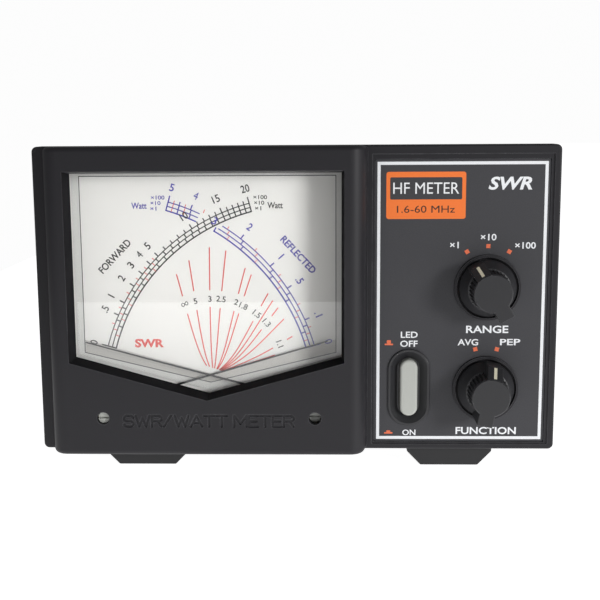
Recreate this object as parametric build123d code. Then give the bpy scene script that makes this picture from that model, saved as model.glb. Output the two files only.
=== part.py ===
from build123d import *
import os
from math import atan2, cos, degrees, hypot, pi, radians, sin

os.makedirs("parts", exist_ok=True)

# A cross-needle SWR and power meter: a wide moulded front with a two-needle meter on the left and the
# controls on the right, on a steel cabinet with two coaxial sockets at the back.
#
# All sizes are in millimetres. The pieces are drawn from the panel: x runs right from its middle, y runs
# back from the flange's front face, and z runs up from the flange's lower edge. save() moves each piece to
# the stored frame, whose origin is under the middle of the whole object, on the surface it stands on.

# Front flange
panel_width = 190.0
panel_height = 112.1
panel_corner = 2.0
flange_thick = 3.2
rim_depth = 8.0
rim_wall = 2.0

# Cabinet behind the flange
case_back = 98.0
case_front = 4.5
cover_thick = 1.0
pan_thick = 1.2
slip = 0.2
foot_height = 8.8
knob_reach = 14.8
socket_end = 114.0

# Meter block and its window
meter_x = -32.3
block_reach = 9.0
block_half_foot = 58.3
block_half_front = 56.5
block_shoulder = 5.5
block_edge = 1.8
block_wall = 2.8
window_half = 49.9
window_top = 103.4
window_side_z = 34.5
window_apex_z = 20.6
window_taper = 7.0
tube_wall = 2.0
cover_front = -1.0
cover_wall = 1.2
cover_half = 52.2
cover_z = (3.6, 105.6)
dial_front = 5.0
dial_thick = 0.8
zero_x = {1: 6.9, -1: -70.4}
zero_z = 13.9
zero_hole_r = 2.3
zero_screw_r = 2.05
zero_screw_front = {1: -5.3, -1: -7.5}

# Meter movements
pivot_x = {1: 2.3, -1: -68.6}
pivot_z = {1: 18.3, -1: 16.7}
needle_zero_angle = {1: 15.1, -1: 16.4}
needle_length = 83.5
staff_r = 0.5
running_gap = 0.05
yoke_y = (8.0, 20.0)
movement_plate_y = (20.0, 21.2)
yoke_r = (7.4, 9.7)
core_r = 4.6
coil_r = (5.2, 6.7)
dial_z = (5.1, 104.1)
housing_back = 34.0

# Control panel
recess_x = (27.7, 92.6)
recess_z = (1.9, 108.9)
recess_depth = 0.45
plate_x = (28.6, 91.4)
plate_z = (2.7, 107.0)
plate_front = 0.8
plate_thick = 1.2
plate_corner = 0.8
knob_x = 69.6
range_z = 60.5
function_z = 23.0
range_rest_angle = -30.0
function_rest_angle = 12.0
well_outer_r = 12.1
well_inner_r = 11.2
well_reach = 0.3
well_floor = 2.2
skirt_r = 10.3
knob_body_r = 7.3
knob_top_r = 6.9
knob_bar_half = 2.8
knob_bar_reach = 10.5
flute_count = 30
shaft_r = 3.0
bushing_r = 4.7
button_x = 41.4
button_z = 23.3
button_size = (6.4, 21.2)
dish_size = (15.4, 29.0)

# Rear panel
socket_x = (38.0, 76.0)
socket_z = 55.0
socket_flange = 25.4
socket_hole_pitch = 18.2
socket_r = 7.94
jack_x = -60.0
jack_z = 30.0

# Boards and coupler
board_x = (-87.0, 20.0)
board_y = (38.0, 92.0)
board_z = (12.0, 13.6)
coupler_x = (22.0, 88.5)
coupler_y = (60.0, 96.4)
coupler_z = (32.0, 78.0)
line_y = 86.0

# Fasteners and feet
screw_r = 1.5
head_r = 2.75
head_high = 1.8
foot_head_high = 1.4
foot_x = 57.5
foot_y = (16.5, 84.0)
foot_top_half = 16.0
foot_sole_half = 10.8
foot_half_long = 8.0
foot_straight = 3.4
rear_screw_x = 80.0
low_screw_z = 10.0
rear_screw_z = 9.5
cover_screw_y = (30.0, 76.0)

stored = Pos(0, (knob_reach - socket_end) / 2, foot_height)


def save(piece, name):
    """Move a piece to the stored frame and write it under its own name."""
    moved = stored * piece
    moved.label = name
    export_step(moved, f"parts/{name}.step")


def group(pieces):
    """Several separate solids kept as one piece."""
    return Compound(children=[solid for piece in pieces for solid in piece.solids()])


def block(x, y, z):
    """A box between two corners, given as a low and a high value along each axis."""
    size = [high - low for low, high in (x, y, z)]
    middle = [(high + low) / 2 for low, high in (x, y, z)]
    return Pos(*middle) * Box(*size)


def prism(face, y0, y1):
    """A face drawn with x across and z up, made solid from depth y0 to depth y1."""
    return Pos(0, y1, 0) * Rot(X=90) * extrude(face, y1 - y0, dir=(0, 0, 1))


def rod(x, z, r, y0, y1):
    """A round bar that runs back into the cabinet."""
    return Pos(x, (y0 + y1) / 2, z) * Rot(X=90) * Cylinder(r, y1 - y0)


def tube(x, z, outer, inner, y0, y1):
    """A round bar with a hole along it."""
    return rod(x, z, outer, y0, y1) - rod(x, z, inner, y0 - 1, y1 + 1)


def post(x, y, r, z0, z1):
    """An upright round bar."""
    return Pos(x, y, (z0 + z1) / 2) * Cylinder(r, z1 - z0)


def bar(z, y, r, x0, x1):
    """A round bar that runs across."""
    return Pos((x0 + x1) / 2, y, z) * Rot(Y=90) * Cylinder(r, x1 - x0)


def about(x, z, angle, piece):
    """Turn a piece drawn round the depth axis by an angle, clockwise from the front, and place it."""
    return Pos(x, 0, z) * Rot(Y=angle) * piece


# ---------------------------------------------------------------- front bezel

def window_outline(grow=0.0):
    """The dial window: straight sides and top, and a shallow V below."""
    half = window_half + grow
    return Polygon(
        (meter_x - half, window_top + grow),
        (meter_x - half, window_side_z - grow),
        (meter_x, window_apex_z - grow * 1.1),
        (meter_x + half, window_side_z - grow),
        (meter_x + half, window_top + grow),
        align=None,
    )


def meter_block():
    """The raised block round the meter, with rounded shoulders and edges."""
    outline = Polygon(
        (meter_x - block_half_foot, 1.0),
        (meter_x - block_half_foot, 0.0),
        (meter_x - block_half_front, -block_reach),
        (meter_x + block_half_front, -block_reach),
        (meter_x + block_half_foot, 0.0),
        (meter_x + block_half_foot, 1.0),
        align=None,
    )
    raised = extrude(outline, panel_height)
    shoulders = raised.edges().filter_by(Axis.Z).sort_by(Axis.Y)[:2]
    raised = fillet(shoulders, block_shoulder)
    end_half = panel_height / 2
    ends = raised.edges().filter_by(lambda e: abs(e.center().Z - end_half) > end_half - 0.01)
    return fillet(ends.filter_by(lambda e: e.center().Y < 0.6), block_edge)


def letter_strokes():
    """The engraved letters, as lines in a cell one unit wide and one unit high."""
    return {
        "S": (3.4, [[(1, .82), (.8, 1), (.2, 1), (0, .82), (0, .68), (.2, .52), (.8, .48), (1, .32),
                     (1, .18), (.8, 0), (.2, 0), (0, .18)]]),
        "W": (5.0, [[(0, 1), (.25, 0), (.5, .8), (.75, 0), (1, 1)]]),
        "R": (3.5, [[(0, 0), (0, 1), (.78, 1), (1, .85), (1, .65), (.78, .5), (0, .5)],
                    [(.6, .5), (1, 0)]]),
        "/": (3.1, [[(0, 0), (.82, 1)]]),
        "A": (4.0, [[(0, 0), (.5, 1), (1, 0)], [(.18, .34), (.82, .34)]]),
        "T": (3.6, [[(0, 1), (1, 1)], [(.5, 1), (.5, 0)]]),
        "M": (4.5, [[(0, 0), (0, 1), (.5, .25), (1, 1), (1, 0)]]),
        "E": (3.2, [[(1, 0), (0, 0), (0, 1), (1, 1)], [(0, .5), (.85, .5)]]),
        " ": (1.0, []),
    }


def engraving(words, middle_x, base_z, high, stroke, gap):
    """A line of letters made of round-ended strokes."""
    cells = letter_strokes()
    total = sum(cells[c][0] for c in words) + gap * (len(words) - 1)
    x = middle_x - total / 2
    face = Sketch()
    for c in words:
        wide, lines = cells[c]
        for line in lines:
            for (x0, z0), (x1, z1) in zip(line, line[1:]):
                dx, dz = (x1 - x0) * wide, (z1 - z0) * high
                centre = Pos(x + (x0 + x1) / 2 * wide, base_z + (z0 + z1) / 2 * high)
                face += centre * Rot(Z=degrees(atan2(dz, dx))) * SlotOverall(hypot(dx, dz) + stroke, stroke)
        x += wide + gap
    return face


def boss_places():
    """Where the screws that hold the front together sit."""
    return [(x, z) for x in (-87.5, 24.5, 87.5) for z in (9.0, 103.0)]


def front_bezel():
    outline = Pos(0, panel_height / 2) * RectangleRounded(panel_width, panel_height, panel_corner)
    shell = prism(outline, 0, rim_depth)
    shell = fillet(shell.faces().sort_by(Axis.Y)[0].edges(), 0.7)
    hollow = Pos(0, panel_height / 2) * RectangleRounded(
        panel_width - 2 * rim_wall, panel_height - 2 * rim_wall, 0.5)
    shell -= prism(hollow, flange_thick, rim_depth + 1)
    shell += meter_block()

    side = (meter_x - 53.3, meter_x + 53.3)
    cavity = block(side, (-block_reach + block_wall, flange_thick + 1), (3, 109.1))
    cavity -= prism(window_outline(tube_wall), -block_reach, cover_front - 0.1)
    shell -= cavity
    opening = extrude(window_outline(), block_reach + cover_front + 0.5, taper=window_taper)
    shell -= Pos(0, -block_reach, 0) * Rot(X=90) * mirror(opening, Plane.XY)
    for side in (-1, 1):
        shell -= rod(zero_x[side], zero_z, zero_hole_r, -block_reach - 1, -block_reach + 4)
    words = engraving("SWR/WATT METER", meter_x + 0.45, zero_z - 2.9, 4.0, 1.0, 0.9)
    shell -= prism(words, -block_reach - 0.2, -block_reach + 0.5)

    recess = block(recess_x, (-1, recess_depth), recess_z)
    recess += block(plate_x, (-1, plate_front + plate_thick), plate_z)
    shell -= recess
    for z in (range_z, function_z):
        shell += rod(knob_x, z, well_outer_r, -well_reach, flange_thick)
        shell -= rod(knob_x, z, well_inner_r, -1, well_floor)
        shell -= rod(knob_x, z, bushing_r + 0.4, -1, flange_thick + 1)
    dish = button_place(SlotOverall(dish_size[1] - 1.2, dish_size[0] - 1.2, 90))
    shell -= prism(dish, -1, flange_thick + 1)
    for x, z in boss_places():
        shell += rod(x, z, 2.2, flange_thick - 0.2, 10.4)
        shell -= rod(x, z, 1.0, flange_thick + 0.4, 11)
    return shell


def button_place(face):
    """Move a face drawn at the origin to the lamp button."""
    return Pos(button_x, button_z) * face


def control_plate():
    middle = Pos(sum(plate_x) / 2, sum(plate_z) / 2)
    face = middle * RectangleRounded(
        plate_x[1] - plate_x[0] - slip, plate_z[1] - plate_z[0] - slip, plate_corner)
    for z in (range_z, function_z):
        face -= Pos(knob_x, z) * Circle(well_outer_r + 0.05)
    face -= button_place(SlotOverall(dish_size[1] - 1.2, dish_size[0] - 1.2, 90))
    return prism(face, plate_front, plate_front + plate_thick)


def lamp_switch_surround():
    lip = button_place(SlotOverall(dish_size[1], dish_size[0], 90))
    body = button_place(SlotOverall(dish_size[1] - 1.4, dish_size[0] - 1.4, 90))
    solid = prism(lip, plate_front - 0.7, plate_front)
    solid = fillet(solid.faces().sort_by(Axis.Y)[0].edges(), 0.35)
    solid += prism(body, plate_front, 5.0)
    mouth = SlotOverall(dish_size[1] - 1.8, dish_size[0] - 1.8, 90)
    dish = extrude(mouth, 2.6, taper=46)
    solid -= Pos(button_x, plate_front - 0.71, button_z) * Rot(X=90) * mirror(dish, Plane.XY)
    hole = button_place(SlotOverall(button_size[1] + 0.5, button_size[0] + 0.5, 90))
    return solid - prism(hole, -2, 6)


# ---------------------------------------------------------------- meter

def meter_window():
    half = cover_half
    tray = block((meter_x - half, meter_x + half), (cover_front, 10.2), cover_z)
    inner = half - cover_wall
    tray -= block((meter_x - inner, meter_x + inner), (cover_front + cover_wall, 11),
                  (cover_z[0] + cover_wall, cover_z[1] - cover_wall))
    for side in (-1, 1):
        tray -= rod(zero_x[side], zero_z, 1.0, -3, 1)
    return tray


def dial_plate():
    half = cover_half - cover_wall - 0.3
    plate = block((meter_x - half, meter_x + half), (dial_front, dial_front + dial_thick), dial_z)
    for side in (-1, 1):
        x = pivot_x[side]
        plate -= rod(x, pivot_z[side], 3.0, 3, 8)
        edge = sorted((x + side * 8.0, x + side * 10.0))
        plate -= block(edge, (3, 8), (pivot_z[side] - 3.2, pivot_z[side] + 3.2))
    return plate


def meter_housing():
    half = cover_half - cover_wall - 0.3
    inner = half - 1.5
    y0 = dial_front + dial_thick
    tray = block((meter_x - half, meter_x + half), (y0, housing_back), dial_z)
    tray -= block((meter_x - inner, meter_x + inner), (y0 - 1, housing_back - 1.5),
                  (dial_z[0] + 1.1, dial_z[1] - 1.2))
    for x, z in movement_screw_places():
        tray += rod(x, z, 3.0, movement_plate_y[1], housing_back - 1)
        tray -= rod(x, z, 1.05, movement_plate_y[1] - 1, movement_plate_y[1] + 7)
    for x, z in lamp_board_places():
        tray += rod(x, z, 2.2, 29.6, housing_back - 1)
    return tray


def movement_screw_places():
    return [(meter_x + x, z) for x in (-20.0, 20.0) for z in (12.5, 29.5)]


def lamp_board_places():
    return [(meter_x + x, 70.0) for x in (-38.0, 38.0)]


def magnet_yoke(side):
    """A soft-iron ring with its core, held by two thin webs that stand clear of the coil."""
    x = pivot_x[side]
    ring = tube(0, 0, yoke_r[1], yoke_r[0], *yoke_y)
    core = tube(0, 0, core_r, 1.5, yoke_y[0] + 1.2, yoke_y[1] - 1.8)
    web = block((core_r - 0.5, yoke_r[0] + 0.5), (11, 16), (-1.2, 1.2))
    web += block((-yoke_r[0] - 0.5, 0.5 - core_r), (11, 16), (-1.2, 1.2))
    middle_of_sweep = side * 28.0
    return about(x, pivot_z[side], middle_of_sweep, ring + core + web)


def movement_bridge(side):
    """The strap that holds the front end of a needle's staff."""
    x = pivot_x[side]
    across = sorted((x - side * 3.0, x + side * 9.6))
    leg = sorted((x + side * 8.3, x + side * 9.6))
    strap = block(across, (0.9, 1.6), (pivot_z[side] - 2.4, pivot_z[side] + 2.4))
    strap += block(leg, (1.5, yoke_y[0]), (pivot_z[side] - 2.4, pivot_z[side] + 2.4))
    return strap - rod(x, pivot_z[side], staff_r + running_gap, 0, 3)


def movement_plate():
    plate = block((meter_x - 48.5, meter_x + 48.5), movement_plate_y, (9.0, 33.0))
    for side in (-1, 1):
        plate -= rod(pivot_x[side], pivot_z[side], staff_r + running_gap, 19, 23)
    for x, z in movement_screw_places():
        plate -= rod(x, z, 1.05, 19, 23)
    return plate


def meter_screws():
    screws = []
    for x, z in movement_screw_places():
        screws.append(rod(x, z, 1.0, 19.9, 27) + rod(x, z, 2.0, 18.7, movement_plate_y[0]))
    return group(screws)


def hairspring(side):
    """A flat spiral round the staff, between the bridge and the needle."""
    turns, inner, pitch, thick = 4, 1.3, 0.75, 0.14
    steps = turns * 10
    outer_pts = []
    for i in range(steps + 1):
        angle = 2 * pi * turns * i / steps
        r = inner + pitch * turns * i / steps
        outer_pts.append((r * cos(angle), r * sin(angle)))
    path = Spline(*outer_pts)
    strip = trace(path, thick)
    return Pos(pivot_x[side], 0, pivot_z[side]) * prism(strip, 6.2, 6.9)


def needle(side, y0):
    """A thin tapered pointer with its hub and balance tail, lying at zero on the scale."""
    thick = 0.35
    blade = Polygon((-1.0, -0.45), (-1.0, 0.45), (-needle_length, 0.2), (-needle_length, -0.2), align=None)
    tail = Pos(3.8, 0) * Rectangle(6.8, 0.9) + Pos(6.2, 0) * Rectangle(2.0, 3.0)
    face = blade + tail + Circle(2.0)
    flat = prism(face - Circle(staff_r), y0, y0 + thick)
    if side < 0:
        flat = mirror(flat, Plane.YZ)
    return about(pivot_x[side], pivot_z[side], side * needle_zero_angle[side], flat)


def coil(side):
    """The former and winding: a loop of two long sides and two crossing ends, fixed to the staff."""
    y0, y1 = yoke_y[0] - 0.6, yoke_y[1] - 0.6
    loop = block((-1.5, 1.5), (y0, y1), (-coil_r[1], coil_r[1]))
    loop -= block((-2, 2), (y0 + 0.8, y1 - 0.8), (-coil_r[0], coil_r[0]))
    loop -= rod(0, 0, staff_r, 0, 30)
    return about(pivot_x[side], pivot_z[side], 0, loop)


def staff(side):
    return rod(pivot_x[side], pivot_z[side], staff_r, 1.0, 21.0)


def zero_screw(side):
    x, front = zero_x[side], zero_screw_front[side]
    screw = rod(x, zero_z, zero_screw_r, front, cover_front - 0.3) + rod(x, zero_z, 0.95, -1.4, 0.6)
    return screw - block((x - 2.5, x + 2.5), (front - 1, front + 0.8), (zero_z - 0.35, zero_z + 0.35))


def lamp_board():
    return block((meter_x - 44, meter_x + 44), (28.0, 29.6), (62.0, 78.0))


def dial_lamps():
    lamps = []
    for i in range(5):
        x = meter_x + (i - 2) * 18.0
        lamps.append(block((x - 1.8, x + 1.8), (26.6, 28.0), (68.6, 71.4)))
    return group(lamps)


# ---------------------------------------------------------------- controls

def knob(x, z, angle):
    """A skirted knob with a fluted body and a straight bar, whose front end slopes to the pointer line."""
    top, bottom = -knob_reach, 0.3
    profile = Polygon(
        (0, bottom), (skirt_r, bottom), (skirt_r, -1.0), (knob_body_r + 0.5, -5.2), (knob_body_r, -5.4),
        (knob_top_r, top + 0.35), (knob_top_r - 0.35, top), (0, top), align=None)
    body = revolve(Plane.XY * profile, Axis.Y)
    for i in range(flute_count):
        turn = 360 * i / flute_count
        flute = Pos(0, (top + 0.9 - 5.4) / 2, knob_body_r - 0.12) * Rot(X=90) * Cylinder(0.5, 8.9)
        body -= Rot(Y=turn) * flute
    slope_start = 6.3
    slope_end = -9.4
    side_view = Polygon(
        (-knob_bar_reach, -1.4), (-knob_bar_reach, top), (slope_start, top),
        (knob_bar_reach, slope_end), (knob_bar_reach, -1.4), align=None)
    beam = Rot(Y=-90) * extrude(side_view, knob_bar_half, both=True)
    ends = beam.edges().filter_by(lambda e: abs(abs(e.center().X) - knob_bar_half) < 0.01)
    beam = fillet(ends.filter_by(lambda e: e.center().Y < -2.5), 0.3)
    body += beam
    body -= rod(0, 0, shaft_r, -9.0, 2)
    body -= line_inlay(0.0)
    return about(x, z, angle, body)


def line_inlay(proud=0.04):
    """The pointer line let into the slope of the bar, drawn with the bar pointing up."""
    start, end = (6.3, -knob_reach), (knob_bar_reach, -9.4)
    length = hypot(end[0] - start[0], end[1] - start[1])
    along = ((end[0] - start[0]) / length, (end[1] - start[1]) / length)
    out = (along[1], -along[0])
    deep = 0.45
    near, far = 1.2, length - 0.45
    corners = []
    for t, s in ((near, proud), (far, proud), (far, -deep), (near, -deep)):
        corners.append((start[0] + along[0] * t + out[0] * s, start[1] + along[1] * t + out[1] * s))
    return Rot(Y=-90) * extrude(Polygon(*corners, align=None), 0.55, both=True)


def knob_line(x, z, angle):
    return about(x, z, angle, line_inlay())


def shaft(x, z):
    return rod(x, z, shaft_r, -9.0, 22.0)


def rotary_switch(x, z):
    """A rotary switch: can, threaded bushing for the nut, and a ring of solder tags."""
    body = rod(x, z, 12.5, 11.6, 25.5) + rod(x, z, bushing_r, 3.4, 12)
    body = chamfer(body.faces().sort_by(Axis.Y)[-1].edges(), 0.8)
    body -= rod(x, z, shaft_r + running_gap, 0, 22.5)
    for i in range(12):
        body += Pos(x, 0, z) * Rot(Y=30 * i + 15) * block((-0.9, 0.9), (25.3, 30.0), (9.6, 10.2))
    return body


def switch_nuts():
    nuts = []
    for z in (range_z, function_z):
        face = Pos(knob_x, z) * (RegularPolygon(6.35, 6) - Circle(bushing_r))
        nuts.append(prism(face, 8.2, 10.4))
    return group(nuts)


def lamp_switch():
    body = block((button_x - 4.4, button_x + 4.4), (13.0, 31.0), (button_z - 6.5, button_z + 6.5))
    body -= block((button_x - 1.65, button_x + 1.65), (10, 25), (button_z - 1.65, button_z + 1.65))
    ears = block((button_x - 3.0, button_x + 3.0), (11.6, 13.0), (button_z - 9.5, button_z + 9.5))
    ears -= block((button_x - 1.65, button_x + 1.65), (10, 25), (button_z - 1.65, button_z + 1.65))
    return body + ears


def lamp_button():
    face = button_place(SlotOverall(button_size[1], button_size[0], 90))
    cap = prism(face, -0.5, 5.4)
    cap = fillet(cap.faces().sort_by(Axis.Y)[0].edges(), 0.9)
    foot = block((button_x - 2.6, button_x + 2.6), (4.4, 8.0), (button_z - 4.0, button_z + 4.0))
    return cap + foot


def lamp_plunger():
    return block((button_x - 1.6, button_x + 1.6), (8.0, 20.0), (button_z - 1.6, button_z + 1.6))


def front_subpanel():
    """The steel plate behind the bezel that carries the switches and clamps the meter."""
    plate = block((-90, 90), (10.4, 11.6), (4.0, 108.4))
    plate -= block((meter_x - 50.9, meter_x + 50.9), (9, 13), (dial_z[0] - 0.2, dial_z[1] + 0.2))
    for z in (range_z, function_z):
        plate -= rod(knob_x, z, bushing_r + 0.05, 9, 13)
    plate -= block((button_x - 2.8, button_x + 2.8), (9, 13), (button_z - 4.2, button_z + 4.2))
    for x, z in boss_places():
        plate -= rod(x, z, 1.1, 9, 13)
    return plate


def bezel_screws():
    screws = []
    for x, z in boss_places():
        screws.append(rod(x, z, 0.95, 5.0, 12) + rod(x, z, 2.0, 11.6, 13.2))
    return group(screws)


# ---------------------------------------------------------------- cabinet

def half_cover():
    """Half the width of the cover's outside, which slips inside the bezel's rim."""
    return panel_width / 2 - rim_wall - slip


def case_low():
    return rim_wall + slip


def cover_screw_places():
    return [(side, y) for side in (-1, 1) for y in cover_screw_y]


def top_cover():
    half = half_cover()
    top = panel_height - rim_wall - slip
    outline = block((-half, half), (case_front, case_back + 0.6), (case_low(), top))
    outline = fillet(outline.edges().filter_by(Axis.Y).sort_by(Axis.Z)[-2:], 1.6)
    inside = block((-half + cover_thick, half - cover_thick), (0, 110), (0, top - cover_thick))
    cover = outline - fillet(inside.edges().filter_by(Axis.Y).sort_by(Axis.Z)[-2:], 0.6)
    for side, y in cover_screw_places():
        cover -= bar(low_screw_z, y, screw_r + 0.1, *sorted((side * (half - 3), side * (half + 2))))
    return cover


def chassis_pan():
    half = half_cover() - cover_thick - slip
    low = case_low()
    pan = block((-half, half), (case_front, case_back - 1.5), (low, 20.0))
    pan -= block((-half + pan_thick, half - pan_thick), (0, 110), (low + pan_thick, 30))
    for x in (-rear_screw_x, rear_screw_x):
        pan += block((x - 6, x + 6), (case_back - 2.7, case_back - 1.5), (low + pan_thick - 0.2, 15))
        pan -= rod(x, rear_screw_z, screw_r + 0.05, 90, 100)
    for side, y in cover_screw_places():
        pan -= bar(low_screw_z, y, screw_r + 0.05, *sorted((side * (half - 3), side * (half + 2))))
    for x, y in foot_places() + standoff_places():
        pan -= post(x, y, screw_r + 0.05, 0, 5)
    return pan


def cover_screws():
    half = half_cover()
    screws = []
    for side, y in cover_screw_places():
        shank = bar(low_screw_z, y, screw_r, *sorted((side * (half - 6), side * half)))
        head = bar(low_screw_z, y, head_r, *sorted((side * half, side * (half + head_high))))
        screws.append(shank + cross_slot(head, (side * (half + head_high), y, low_screw_z), "x"))
    for x in (-rear_screw_x, rear_screw_x):
        shank = rod(x, rear_screw_z, screw_r, case_back - 6, case_back)
        head = rod(x, rear_screw_z, head_r, case_back, case_back + head_high)
        screws.append(shank + cross_slot(head, (x, case_back + head_high, rear_screw_z), "y"))
    return group(screws)


def cross_slot(head, middle, axis):
    """Cut a cross recess into a screw's head."""
    long, wide, deep = 1.6, 0.35, 1.0
    first = {"x": (deep, long, wide), "y": (long, deep, wide)}[axis]
    second = {"x": (deep, wide, long), "y": (wide, deep, long)}[axis]
    for reach in (first, second):
        head -= Pos(*middle) * Box(2 * reach[0], 2 * reach[1], 2 * reach[2])
    return head


def rear_panel():
    half = half_cover() - cover_thick - slip - pan_thick - slip
    panel = block((-half, half), (case_back - 1.5, case_back), (case_low() + pan_thick + 0.1, 108.6))
    for x in socket_x:
        panel -= rod(x, socket_z, 7.5, 90, 100)
        for dx, dz in socket_screw_offsets():
            panel -= rod(x + dx, socket_z + dz, screw_r + 0.1, 90, 100)
    for x in (-rear_screw_x, rear_screw_x):
        panel -= rod(x, rear_screw_z, screw_r + 0.1, 90, 100)
    return panel - rod(jack_x, jack_z, 4.05, 90, 100)


def socket_screw_offsets():
    h = socket_hole_pitch / 2
    return [(dx, dz) for dx in (-h, h) for dz in (-h, h)]


def foot_places():
    return [(x, y) for x in (-foot_x, foot_x) for y in foot_y]


def feet():
    """Moulded feet: straight at the top, then narrowing to the sole."""
    pieces = []
    for x, y in foot_places():
        top = case_low()
        wide, sole, waist = foot_top_half, foot_sole_half, -foot_straight
        face = Polygon((x - wide, top), (x - wide, waist), (x - sole, -foot_height),
                       (x + sole, -foot_height), (x + wide, waist), (x + wide, top), align=None)
        foot = prism(face, y - foot_half_long, y + foot_half_long)
        soft = foot.edges().filter_by(Axis.Y).filter_by(lambda e: e.center().Z < 0)
        foot = fillet(soft, 0.8)
        pieces.append(foot - post(x, y, 1.45, -2, 3))
    return group(pieces)


def foot_screws():
    screws = []
    inner = case_low() + pan_thick
    for x, y in foot_places():
        head = post(x, y, head_r, inner, inner + foot_head_high)
        screws.append(post(x, y, screw_r - 0.1, -1.5, inner + 0.1) + head)
    return group(screws)


# ---------------------------------------------------------------- boards and coupler

def standoff_places():
    return [(x, y) for x in (-84.0, 16.0) for y in (42.0, 88.0)]


def main_board():
    board = block(board_x, board_y, board_z)
    for x, y in standoff_places():
        board -= post(x, y, 1.6, 11, 15)
    return board


def board_standoffs():
    return group([post(x, y, 2.6, case_low() + pan_thick, board_z[0]) for x, y in standoff_places()])


def board_parts():
    """Capacitors, chips and a connector on the main board."""
    parts = []
    for i in range(4):
        parts.append(post(-74 + 11 * i, 82, 3.1, board_z[1], 25.0))
    for i in range(3):
        parts.append(block((-70 + 26 * i, -60 + 26 * i), (60, 66.5), (board_z[1], 17.0)))
    parts.append(block((-20, 4), (44, 50), (board_z[1], 22.0)))
    return group(parts)


def trimmers():
    parts = []
    for i in range(4):
        x = -76 + 12 * i
        screw = post(x, 50, 1.1, 18.0, 18.8)
        parts.append(block((x - 3.3, x + 3.3), (46.7, 53.3), (board_z[1], 18.0)) + screw)
    return group(parts)


def coupler_box():
    """The screening box round the coaxial line, open at the front for its lid."""
    box = block(coupler_x, coupler_y, coupler_z)
    wall = 1.0
    box -= block((coupler_x[0] + wall, coupler_x[1] - wall), (coupler_y[0] - 1, coupler_y[1] - wall),
                 (coupler_z[0] + wall, coupler_z[1] - wall))
    for x in socket_x:
        box -= rod(x, socket_z, 7.5, 90, 100)
        for dx, dz in socket_screw_offsets():
            box -= rod(x + dx, socket_z + dz, screw_r + 0.05, 90, 100)
    return box


def coupler_lid():
    lid = block(coupler_x, (coupler_y[0] - 1.0, coupler_y[0]), coupler_z)
    inner = [(low + 1.2, high - 1.2) for low, high in (coupler_x, coupler_z)]
    lip = block(inner[0], (coupler_y[0] - 0.2, coupler_y[0] + 3), inner[1])
    lip -= block((inner[0][0] + 1, inner[0][1] - 1), (coupler_y[0] - 0.2, coupler_y[0] + 4),
                 (inner[1][0] + 1, inner[1][1] - 1))
    return lid + lip


def coupler_line():
    return bar(socket_z, line_y, 1.6, socket_x[0] - 3, socket_x[1] + 3)


def toroid():
    ring = bar(socket_z, line_y, 8.0, 53.0, 61.0) - bar(socket_z, line_y, 2.6, 50, 64)
    return fillet(ring.edges(), 1.2)


def coupler_board():
    return block((26, 84.5), (66, 94), (36.0, 37.6))


def coax_socket(x):
    """The socket's shell: a square flange and a round nose for the plug's ring."""
    half = socket_flange / 2
    flange = block((x - half, x + half), (case_back, case_back + 1.6), (socket_z - half, socket_z + half))
    flange = fillet(flange.edges().filter_by(Axis.Y), 2.0)
    shell = flange + rod(x, socket_z, socket_r, case_back, socket_end) + rod(x, socket_z, 7.4, 93.5, 98.5)
    shell -= rod(x, socket_z, 6.3, 90, socket_end + 1)
    for dx, dz in socket_screw_offsets():
        shell -= rod(x + dx, socket_z + dz, screw_r + 0.1, 90, 100)
    nose = shell.edges().filter_by(GeomType.CIRCLE).sort_by(Axis.Y)[-2:]
    return chamfer(nose, 0.4)


def socket_insulators():
    return group([tube(x, socket_z, 6.3, 2.9, 93.5, 108.5) for x in socket_x])


def socket_contacts():
    pieces = []
    for x in socket_x:
        contact = rod(x, socket_z, 2.9, 90.0, 112.0) - rod(x, socket_z, 2.0, 101.5, 113)
        for turn in (0, 90):
            cut = Rot(Y=turn) * block((-0.25, 0.25), (108.9, 113), (-4, 4))
            contact -= Pos(x, 0, socket_z) * cut
        contact += rod(x, socket_z, 1.2, 87.6, 90.5)
        pieces.append(contact)
    return group(pieces)


def socket_screws():
    screws = []
    for x in socket_x:
        for dx, dz in socket_screw_offsets():
            shank = rod(x + dx, socket_z + dz, screw_r, 93.0, case_back + 1.7)
            head = rod(x + dx, socket_z + dz, head_r, case_back + 1.6, case_back + 1.6 + head_high)
            middle = (x + dx, case_back + 1.6 + head_high, socket_z + dz)
            screws.append(shank + cross_slot(head, middle, "y"))
    return group(screws)


def dc_jack():
    body = rod(jack_x, jack_z, 5.5, case_back, case_back + 1.5)
    body += rod(jack_x, jack_z, 4.0, 86.0, case_back + 1)
    return body - rod(jack_x, jack_z, 2.75, 88.0, case_back + 3)


def dc_jack_pin():
    return rod(jack_x, jack_z, 1.0, 88.0, 98.0)


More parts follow.
